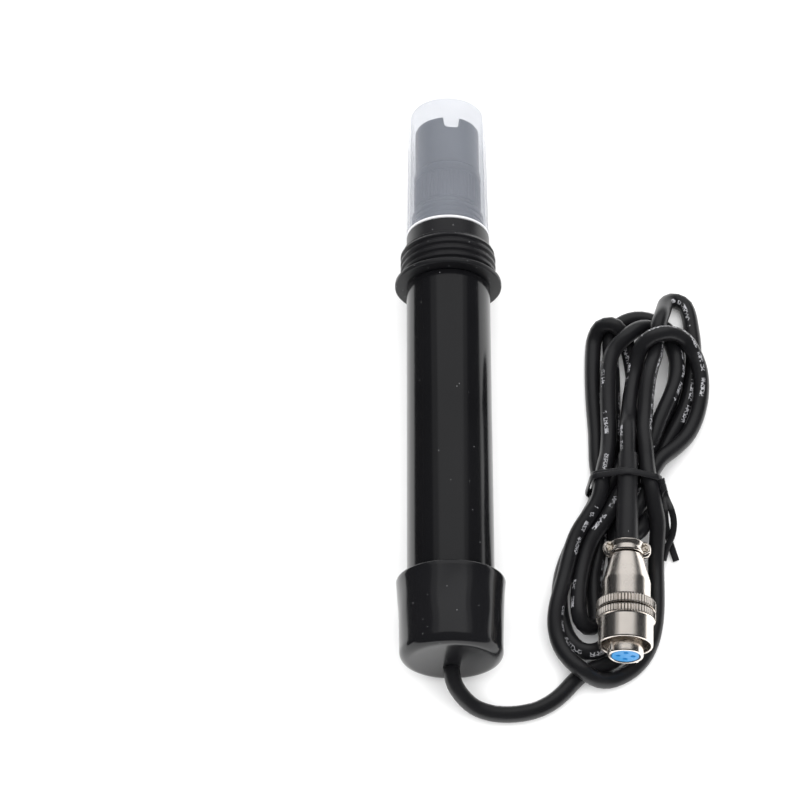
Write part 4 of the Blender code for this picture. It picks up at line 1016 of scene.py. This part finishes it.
def make_tie(look, path):
    """Tie strip: a flat ribbon round the waist of the hank, crossed into a twisted knot, with two loose
    tails."""
    outline = hull_ring(path, TIE_Y, look)
    middle = outline.mean(0)
    start = np.argmax(outline[:, 0] + 0.4 * outline[:, 1])
    outline = np.roll(outline, -start, axis=0)
    lean = (outline[:, 0] - middle[0]) * -0.1
    band = np.stack([outline[:, 0], TIE_Y + lean, outline[:, 1]], 1)
    flat = np.repeat([[0.0, 1.0, 0.0]], 240, 0)
    band = smooth_path(band, 1.2 * MM, closed=True)
    strips = [ribbon(band, look.tie_width, look.tie_thickness, flat[: len(band)])]
    second = band + np.array([0, -0.9 * MM, 0]) * np.sin(np.linspace(0, math.pi, len(band)))[:, None]
    second[:, [0, 2]] = middle + (second[:, [0, 2]] - middle) * 1.04
    second[:, 2] = np.maximum(second[:, 2], look.tie_thickness / 2)
    part_way = int(len(second) * 0.62)
    strips.append(ribbon(second[:part_way], look.tie_width * 0.9, look.tie_thickness, flat[:part_way]))
    knot = band[0] + np.array([0.3, -0.4, 0.2]) * MM
    for k in range(2):
        t = np.linspace(0, 1, 48)
        turn = t * 7 + k * math.pi
        twist = knot + np.stack([t * 0.9 * MM, -t * 3.4 * MM, -t * 1.4 * MM], 1)
        twist += 0.6 * MM * np.stack([np.cos(turn), 0 * t, np.sin(turn)], 1)
        face = np.stack([-np.sin(turn), 0.5 + 0 * t, np.cos(turn)], 1)
        strips.append(ribbon(twist, look.tie_width * 0.8, look.tie_thickness * 1.2, face))
    foot = knot + np.array([0.9, -3.4, -1.4]) * MM
    tails = [
        [
            knot, foot, (55.9, -34.6, 5.6), (56.5, -37.6, 4.4), (56, -40.8, 3.4), (54.6, -43.8, 2.9),
            (53.6, -47.3, 2.6),
        ],
        [
            knot, foot, (54.3, -34.8, 5.2), (54.6, -38, 3.6), (55.4, -41.4, 2.1), (56.3, -44.3, 1.3),
            (57, -46.6, 0.9),
        ],
    ]
    for tail, lean in zip(tails, (0.45, 0.15)):
        line = smooth_path([*tail[:2], *(np.array(p) * MM for p in tail[2:])], 0.6 * MM)
        face = np.repeat([[1.0, 0.15, lean]], len(line), 0)
        strips.append(ribbon(line, look.tie_width, look.tie_thickness, face))
    return make_piece("tie_strip", strips, "probe", "tie_plastic", ["twist_tie"], 40)


# The plug


def teeth(count, depth, low, high, floor):
    """Straight knurling: r - depth * (1 - rounded wave) on the radii above floor between two stations."""

    def shape(along, angle, radius):
        wave = np.clip(np.abs((angle * count / TAU) % 1.0 - 0.5) * 4 - 0.6, 0, 1)
        on = (radius > floor) & (along > low) & (along < high)
        return radius - np.where(on, depth * (1 - wave), 0)

    return shape


def make_plug(look):
    """The plug's metal parts: cord clamp, tapered shell, knurled body, coupling ring with a threaded
    mouth, and slotted screws."""
    made = []
    clamp = loop(
        [
            (0, 3.25), (0, 4.1), (0.3, 4.4), (0.9, 4.25), (1.55, 4.05), (2.2, 4.25), (2.8, 4.4),
            (3.1, 4.1), (3.1, 3.25),
        ]
    )
    parts = [lathe(rounded(np.array(clamp) * MM, 0.2 * MM), PLUG_PLACE, 72)]
    side = np.cross(PLUG_AXIS, UP)

    def oval(along, angle, radius):
        return radius * (1 + 0.12 * np.cos(2 * angle))

    for way in (-1, 1):
        ear = np.array(
            [(-0.85, 0), (-0.85, 1.55), (-0.45, 1.95), (0.45, 1.95), (0.85, 1.55), (0.85, 0)]
        ) * MM
        base = PLUG_ORIGIN + PLUG_AXIS * 1.55 * MM + side * way * 4.3 * MM
        parts.append(lathe(rounded(ear, 0.25 * MM), (base, UP), 32, oval))
        strap = np.array([(0, 0), (0, 1.5), (0.2, 1.7), (1.0, 1.7), (1.2, 1.5), (1.2, 0)]) * MM
        parts.append(lathe(rounded(strap, 0.15 * MM), (base + UP * 0.15 * MM, UP), 6))
    made.append(make_piece("cord_clamp", parts, "probe", "plug_nickel", ["clamp_saddle"], 40))
    for number, way, slant in ((1, -1, 0.6), (2, 1, -0.5)):
        head = np.array([(0, 0), (0, 1.25), (0.2, 1.4), (0.75, 1.4), (1.0, 1.2), (1.05, 0)]) * MM
        top = PLUG_ORIGIN + PLUG_AXIS * 1.55 * MM + side * way * 4.05 * MM + UP * 0.85 * MM
        points, quads = lathe(fine(rounded(head, 0.12 * MM, 4), 0.16 * MM), (top, UP), 48)
        line = np.array([math.cos(slant), math.sin(slant), 0])
        across = np.abs((points - top) @ np.cross(line, UP))
        high = (points - top)[:, 2] > 0.6 * MM
        cross = np.abs((points - top) @ line)
        sunk = np.clip((0.27 * MM - across) / (0.08 * MM), 0, 1)
        sunk = sunk + np.clip((0.24 * MM - cross) / (0.08 * MM), 0, 1)
        points[:, 2] -= np.where(high, np.clip(sunk, 0, 1) * 0.45 * MM, 0)
        screw = make_piece(
            f"clamp_screw_{number}_head", [(points, quads)], "probe", "screw_steel",
            [f"clamp_screw_{number}"], 30,
        )
        made.append(screw)
    shell = [
        (3.4, 3.3), (3.4, 3.9), (3.7, 4.15), (10.5, 5.95), (10.9, 6.0), (15.6, 6.0), (15.8, 5.85),
        (15.8, 5.1), (10.7, 5.1), (3.4, 3.3),
    ]
    profile = fine(rounded(np.array(shell) * MM, 0.25 * MM), 1.2 * MM)

    def flats(along, angle, radius):
        """Two shallow flats near the top of the tapered neck: r limited by the chord distance /
        cos(angle)."""
        off = np.abs((angle + math.pi / 2) % math.pi - math.pi / 2)
        chord = (3.45 * MM + 0.31 * (along - 3.4 * MM)) / np.maximum(
            np.cos(np.minimum(np.abs(off - 0.75), 0.5)), 0.1
        )
        on = (along < 10.9 * MM) & (radius > 3.5 * MM)
        return np.where(on, np.minimum(radius, chord + 0.5 * MM), radius)

    made.append(
        make_piece(
            "plug_shell", [lathe(profile, PLUG_PLACE, 96, flats)], "probe", "plug_nickel",
            ["backshell"], 30,
        )
    )
    band_low, band_high = 16.1 * MM, 18.6 * MM
    body = [
        (16.1, 5.1), (16.1, 7.1), (16.4, 7.35), (18.3, 7.35), (18.6, 7.1), (18.6, 5.0), (23.4, 5.0),
        (23.4, 4.4), (30.2, 4.4), (30.4, 4.2), (30.4, 3.75), (30.1, 3.6), (16.1, 3.6), (16.1, 5.1),
    ]
    profile = fine(rounded(np.array(body) * MM, 0.15 * MM, 4), 0.6 * MM)
    parts = [
        lathe(
            profile,
            PLUG_PLACE,
            336,
            teeth(56, 0.3 * MM, band_low + 0.1 * MM, band_high - 0.1 * MM, 6.6 * MM),
        )
    ]
    key = np.array([(26.0, 0), (26.0, 0.55), (30.0, 0.55), (30.3, 0.35), (30.3, 0)]) * MM
    for turn in (0.9, -2.4):
        spot = PLUG_ORIGIN + (UP * math.cos(turn) + side * math.sin(turn)) * 4.4 * MM
        parts.append(lathe(key, (spot, PLUG_AXIS), 16))
    made.append(make_piece("plug_body", parts, "probe", "plug_nickel", ["connector_body"], 30))
    hole, circle = 0.58 * MM, 1.85 * MM
    made.append(
        make_piece(
            "blue_insert", [insert_part(hole, circle, side)], "probe", "insert_blue",
            ["contact_insert"], 30,
        )
    )
    ring = [
        (18.9, 5.3), (18.9, 7.1), (19.15, 7.35), (20.8, 7.35), (21.0, 7.1), (21.05, 6.8), (21.3, 6.75),
        (27.2, 6.75), (27.5, 6.7), (27.6, 6.5), (27.6, 6.2), (27.4, 6.05),
    ]
    inside = [(a, 6.0 + (0.16 if i % 2 else 0.0)) for i, a in enumerate(np.arange(27.0, 21.2, -0.35))]
    profile = rounded(np.array(loop([*ring, *inside, (20.8, 6.0), (20.8, 5.3)])) * MM, 0.12 * MM, 4)
    made.append(
        make_piece(
            "coupling_ring_shell",
            [lathe(profile, PLUG_PLACE, 336, teeth(56, 0.3 * MM, 19.0 * MM, 20.95 * MM, 6.9 * MM))],
            "coupling_ring",
            "plug_nickel",
            ["coupling_ring"],
            30,
        )
    )
    return made


def insert_part(hole, circle, side):
    """The contact insert: a disc face pierced by four round wells. Grid points slide from the rim of
    each well to a square cell, and the cells fill the disc quarter by quarter."""
    low, high, r = 24.0 * MM, 30.2 * MM, 3.35 * MM
    parts = []
    steps = 24
    for quarter in range(4):
        centre_angle = quarter * TAU / 4
        centre = circle * np.array([math.cos(centre_angle), math.sin(centre_angle)])
        angle = centre_angle + math.pi + np.linspace(0, TAU, 4 * steps, endpoint=False)
        way = np.stack([np.cos(angle), np.sin(angle)], 1)
        reach_out = edge_distance(centre, way, centre_angle, r)
        rows = []
        for depth, radial in (
            (1.6 * MM, np.full(len(angle), 0.0)),
            (1.6 * MM, np.full(len(angle), hole * 0.96)),
            (0.15 * MM, np.full(len(angle), hole)),
            (0.0, np.full(len(angle), hole + 0.1 * MM)),
            (0.0, hole + 0.1 * MM + (reach_out - hole - 0.1 * MM) * 0.5),
            (0.0, hole + 0.1 * MM + (reach_out - hole - 0.1 * MM) * 1.0),
        ):
            flat = centre + radial[:, None] * way
            rows.append(PLUG_ORIGIN + PLUG_AXIS * (high - depth) + flat[:, :1] * UP + flat[:, 1:] * side)
        parts.append(grid_part(np.array(rows)))
    angle = np.linspace(0, TAU, 192, endpoint=False)
    ring = np.cos(angle)[:, None] * UP + np.sin(angle)[:, None] * side
    rim = [
        PLUG_ORIGIN + PLUG_AXIS * a + ring * b
        for a, b in ((high, r), (high - 0.1 * MM, r + 0.04 * MM), (low, r + 0.04 * MM), (low, 0.0))
    ]
    parts.append(grid_part(np.array(rim)))
    starts = np.cumsum([0] + [len(p) for p, _ in parts[:-1]])
    quads = np.concatenate([q + start for (_, q), start in zip(parts, starts)])
    return np.concatenate([p for p, _ in parts]), quads


def edge_distance(centre, way, middle, radius):
    """Distance from a point to the edge of its quarter of a disc, in each direction: the nearest of the
    circle and the two straight sides."""
    b = way @ centre
    out = -b + np.sqrt(b * b - centre @ centre + radius * radius)
    for turn in (middle - math.pi / 4, middle + math.pi / 4):
        normal = np.array([-math.sin(turn), math.cos(turn)])
        speed = way @ normal
        there = -(centre @ normal) / np.where(np.abs(speed) < 1e-9, 1e-9, speed)
        out = np.where(there > 0, np.minimum(out, there), out)
    return out


# Settings, operators and panel


def length(name, text, millimetres):
    """A setting that is a length."""
    return bpy.props.FloatProperty(name=name, description=text, default=millimetres * MM, unit="LENGTH")


def paint(name, text, color):
    """A setting that is a colour."""
    return bpy.props.FloatVectorProperty(name=name, description=text, subtype="COLOR", default=color)


class ProbeLook(bpy.types.PropertyGroup):
    """Sizes and colours that a user would change."""

    gap: length("Fit gap", "Room between fitted parts", 0.3)
    cap_flare: length("Cap flare", "How far the end cap's lip stands out", 0.75)
    cap_corner: length("Cap corner", "Radius of the end cap's foot", 2.4)
    cap_ripple: length("Cap ripple", "Height of the waves in the stretched end cap", 0.045)
    thread_pitch: length("Thread pitch", "Distance between the head's thread ridges", 2.0)
    grip_ribs: bpy.props.IntProperty(
        name="Grip ribs", description="Ribs round the membrane cap", default=48, min=12
    )
    notch_width: length("Notch width", "Width of the guard's notches", 4.5)
    notch_depth: length("Notch depth", "Depth of the guard's notches", 3.0)
    cap_taper: length("Cap taper", "How much narrower the storage cap's end is", 0.45)
    cap_wall: length("Cap wall", "Wall of the storage cap", 0.7)
    veil: bpy.props.FloatProperty(
        name="Milkiness",
        description="How much each wall of the storage cap hides",
        default=0.19,
        subtype="FACTOR",
        min=0,
        max=1,
    )
    veil_color: paint("Storage cap", "Colour of the storage cap", (0.365, 0.39, 0.45))
    black: paint("Black plastic", "Colour of the black plastic", (0.0042, 0.0042, 0.0048))
    nickel: paint("Nickel", "Colour of the plug's plating", (0.97, 0.9, 0.83))
    insert_blue: paint("Insert", "Colour of the contact insert", (0.034, 0.25, 0.56))
    print_turn: bpy.props.FloatProperty(
        name="Mark turn", description="Where round the cord its marks run", default=0.5,
        subtype="FACTOR",
    )
    tie_width: length("Tie width", "Width of the tie strip", 1.7)
    tie_thickness: length("Tie thickness", "Thickness of the tie strip", 0.55)
    floor_size: bpy.props.FloatProperty(
        name="Floor", description="Side of the floor", default=8.0, unit="LENGTH"
    )
    light: bpy.props.FloatProperty(
        name="Light", description="Strength of the studio light", default=1.0, min=0
    )


class StageLook(bpy.types.PropertyGroup):
    """The camera's place."""

    tilt: bpy.props.FloatProperty(
        name="Tilt", description="Camera tilt from straight down", default=math.radians(28),
        subtype="ANGLE",
    )
    lens: bpy.props.FloatProperty(name="Lens", description="Focal length in millimetres", default=135.0)


MATERIALS = {}
CAMERA_PLACE = (-0.0125, -0.36515, 0.6863)


class PROBE_OT_camera(bpy.types.Operator):
    """Place the camera above and in front of the probe"""

    bl_idname = "probe.camera"
    bl_label = "Camera"

    def execute(self, context):
        """Puts the camera in its place, tilted down."""
        look = context.scene.probe_stage
        data = bpy.data.cameras.new("camera")
        data.lens = look.lens
        data.sensor_width = 36
        camera = bpy.data.objects.new("camera", data)
        camera.location = CAMERA_PLACE
        camera.rotation_euler = (look.tilt, 0, 0)
        context.scene.collection.objects.link(camera)
        context.scene.camera = camera
        return {"FINISHED"}


class PROBE_OT_materials(bpy.types.Operator):
    """Make every finish and give the CAD parts inside theirs"""

    bl_idname = "probe.materials"
    bl_label = "Materials"

    def execute(self, context):
        """Builds the finishes by slot and sets them on the CAD nodes by the record's assignments."""
        MATERIALS.update(make_materials(context.scene.probe_look))
        for node, slot in NODE_FINISH.items():
            piece = frame["nodes"][node]
            for i in range(max(1, len(piece.material_slots))):
                if piece.material_slots:
                    piece.material_slots[i].material = MATERIALS[slot]
                else:
                    piece.data.materials.append(MATERIALS[slot])
        return {"FINISHED"}


NODE_FINISH = {
    "electrode_stem": "sensor_plastic", "cathode_disc": "contact_gold", "anode_ring": "electrode_silver",
    "thermistor": "potting_resin", "membrane_disc": "membrane_film", "membrane_ring": "guard_plastic",
    "signal_board": "board_green", "wire_header": "chip_black", "amplifier_chip": "chip_black",
    "reference_capacitor": "electrode_silver", "core_wire_1": "wire_red", "core_wire_2": "wire_black",
    "core_wire_3": "wire_white", "core_wire_4": "wire_yellow", "cathode_wire": "wire_red",
    "anode_wire": "wire_black", "thermistor_wire": "wire_white", "cord_inner_end": "cord_jacket",
    "cord_stop": "cap_vinyl", "potting_plug": "potting_resin", "contact_socket_1": "contact_gold",
    "contact_socket_2": "contact_gold", "contact_socket_3": "contact_gold",
    "contact_socket_4": "contact_gold",
}


class PROBE_OT_handle(bpy.types.Operator):
    """Make the handle tube and its soft end cap"""

    bl_idname = "probe.handle"
    bl_label = "Handle"

    def execute(self, context):
        """Tube and end cap."""
        look = context.scene.probe_look
        make_tube(look)
        make_end_cap(look)
        return {"FINISHED"}


class PROBE_OT_head(bpy.types.Operator):
    """Make the threaded head, its seal, the membrane cap and the guard"""

    bl_idname = "probe.head"
    bl_label = "Head"

    def execute(self, context):
        """Head, seal ring, membrane cap and guard."""
        look = context.scene.probe_look
        make_head(look)
        make_seal(look)
        make_membrane_cap(look)
        make_guard(look)
        return {"FINISHED"}


class PROBE_OT_storage_cap(bpy.types.Operator):
    """Make the clear storage cap"""

    bl_idname = "probe.storage_cap"
    bl_label = "Storage cap"

    def execute(self, context):
        """The clear cup over the sensing end."""
        make_storage_cap(context.scene.probe_look)
        return {"FINISHED"}


class PROBE_OT_lead(bpy.types.Operator):
    """Make the cord, its tie, its sleeve and its plug"""

    bl_idname = "probe.lead"
    bl_label = "Lead and plug"

    def execute(self, context):
        """Cord first, then what sits on it."""
        look = context.scene.probe_look
        cord, path = make_cord(look)
        with_pieces = [make_sleeve(look), make_tie(look, path), *make_plug(look)]
        with_pieces += [frame["nodes"][f"contact_socket_{n}"] for n in range(1, 5)]
        return {"FINISHED"}


class PROBE_OT_stage(bpy.types.Operator):
    """Make the pale floor and the studio light"""

    bl_idname = "probe.stage"
    bl_label = "Stage"

    def execute(self, context):
        """Floor, surroundings and soft lights."""
        look = context.scene.probe_look
        half = look.floor_size / 2
        mesh = bpy.data.meshes.new("floor")
        mesh.from_pydata(
            [(-half, -half, 0), (half, -half, 0), (half, half, 0), (-half, half, 0)], [], [(0, 1, 2, 3)]
        )
        floor = bpy.data.objects.new("floor", mesh)
        context.scene.collection.objects.link(floor)
        f = Finish(
            "floor", (0.86, 0.86, 0.86), roughness=0.9, Emission_Color=(1, 1, 1, 1),
            Emission_Strength=0.05,
        )
        f.tint(f.group("Mottle", "Value", Scale=3.0, Low=0.0, High=1.0), (0.88, 0.88, 0.88))
        mesh.materials.append(f.material)
        flag_mesh = bpy.data.meshes.new("flag")
        low, high = CAD_BOX[0].y, CAD_BOX[1].y
        corners = [(x, y, z) for x in (-0.11, -0.06) for y in (low, high) for z in (0.001, 0.034)]
        flag_mesh.from_pydata(
            corners,
            [],
            [(0, 1, 3, 2), (4, 6, 7, 5), (0, 4, 5, 1), (2, 3, 7, 6), (1, 5, 7, 3), (0, 2, 6, 4)],
        )
        flag = bpy.data.objects.new("flag", flag_mesh)
        context.scene.collection.objects.link(flag)
        flag_mesh.materials.append(plastic("dark flag", (0.01, 0.01, 0.01), 0.7, 0.9))
        flag.visible_camera = flag.visible_diffuse = flag.visible_shadow = flag.visible_transmission = False
        world = bpy.data.worlds.new("studio")
        context.scene.world = world
        world.use_nodes = True
        tree = world.node_tree
        dim = tree.nodes["Background"]
        dim.inputs["Color"].default_value = (0.9, 0.93, 1, 1)
        dim.inputs["Strength"].default_value = 0.04
        pale = add(tree, "ShaderNodeBackground", in_Color=(1, 1, 1, 1), in_Strength=0.95)
        seen = add(tree, "ShaderNodeLightPath")
        mix = add(
            tree,
            "ShaderNodeMixShader",
            [(0, seen.outputs["Is Glossy Ray"]), (1, pale.outputs[0]), (2, dim.outputs[0])],
        )
        tree.links.new(mix.outputs[0], tree.nodes["World Output"].inputs["Surface"])
        for name, place, size, level, glossy in (
            ("overhead", (0.0, 0.86, 0.96), (2.3, 1.5), 0.32, True),
            ("overhead_core", (0.05, 0.84, 0.94), (1.5, 1.5), 0.42, True),
            ("fill", (0.0, -0.3, 1.6), (2.8, 2.8), 1.6, False),
        ):
            data = bpy.data.lights.new(name, "AREA")
            data.shape = "RECTANGLE"
            data.size, data.size_y = size
            data.energy = look.light * level * math.pi * size[0] * size[1]
            lamp = bpy.data.objects.new(name, data)
            lamp.location = place
            lamp.rotation_euler = (-lamp.location).to_track_quat("-Z", "Y").to_euler()
            lamp.visible_glossy = glossy
            context.scene.collection.objects.link(lamp)
        context.scene.view_settings.view_transform = "Standard"
        return {"FINISHED"}


class PROBE_PT_panel(bpy.types.Panel):
    """The sidebar panel that lists the sizes, colours and steps"""

    bl_idname = "PROBE_PT_panel"
    bl_label = "Water quality probe"
    bl_space_type = "VIEW_3D"
    bl_region_type = "UI"
    bl_category = "Probe"

    def draw(self, context):
        """Lists every setting and a button for each operator."""
        for group in (context.scene.probe_look, context.scene.probe_stage):
            for key in group.__annotations__:
                self.layout.prop(group, key)
        for step in STEPS:
            self.layout.operator(step.bl_idname)


STEPS = (
    PROBE_OT_camera,
    PROBE_OT_materials,
    PROBE_OT_lead,
    PROBE_OT_handle,
    PROBE_OT_head,
    PROBE_OT_storage_cap,
    PROBE_OT_stage,
)
CLASSES = (ProbeLook, StageLook, *STEPS, PROBE_PT_panel)


def register():
    """Registers the classes and puts the settings on the scene."""
    for cls in CLASSES:
        bpy.utils.register_class(cls)
    bpy.types.Scene.probe_look = bpy.props.PointerProperty(type=ProbeLook)
    bpy.types.Scene.probe_stage = bpy.props.PointerProperty(type=StageLook)


def unregister():
    """Takes the settings off the scene and removes the classes."""
    del bpy.types.Scene.probe_stage
    del bpy.types.Scene.probe_look
    for cls in reversed(CLASSES):
        bpy.utils.unregister_class(cls)


def main():
    """Builds everything in order."""
    register()
    for step in STEPS:
        family, action = step.bl_idname.split(".")
        getattr(getattr(bpy.ops, family), action)()


if __name__ == "__main__":
    main()
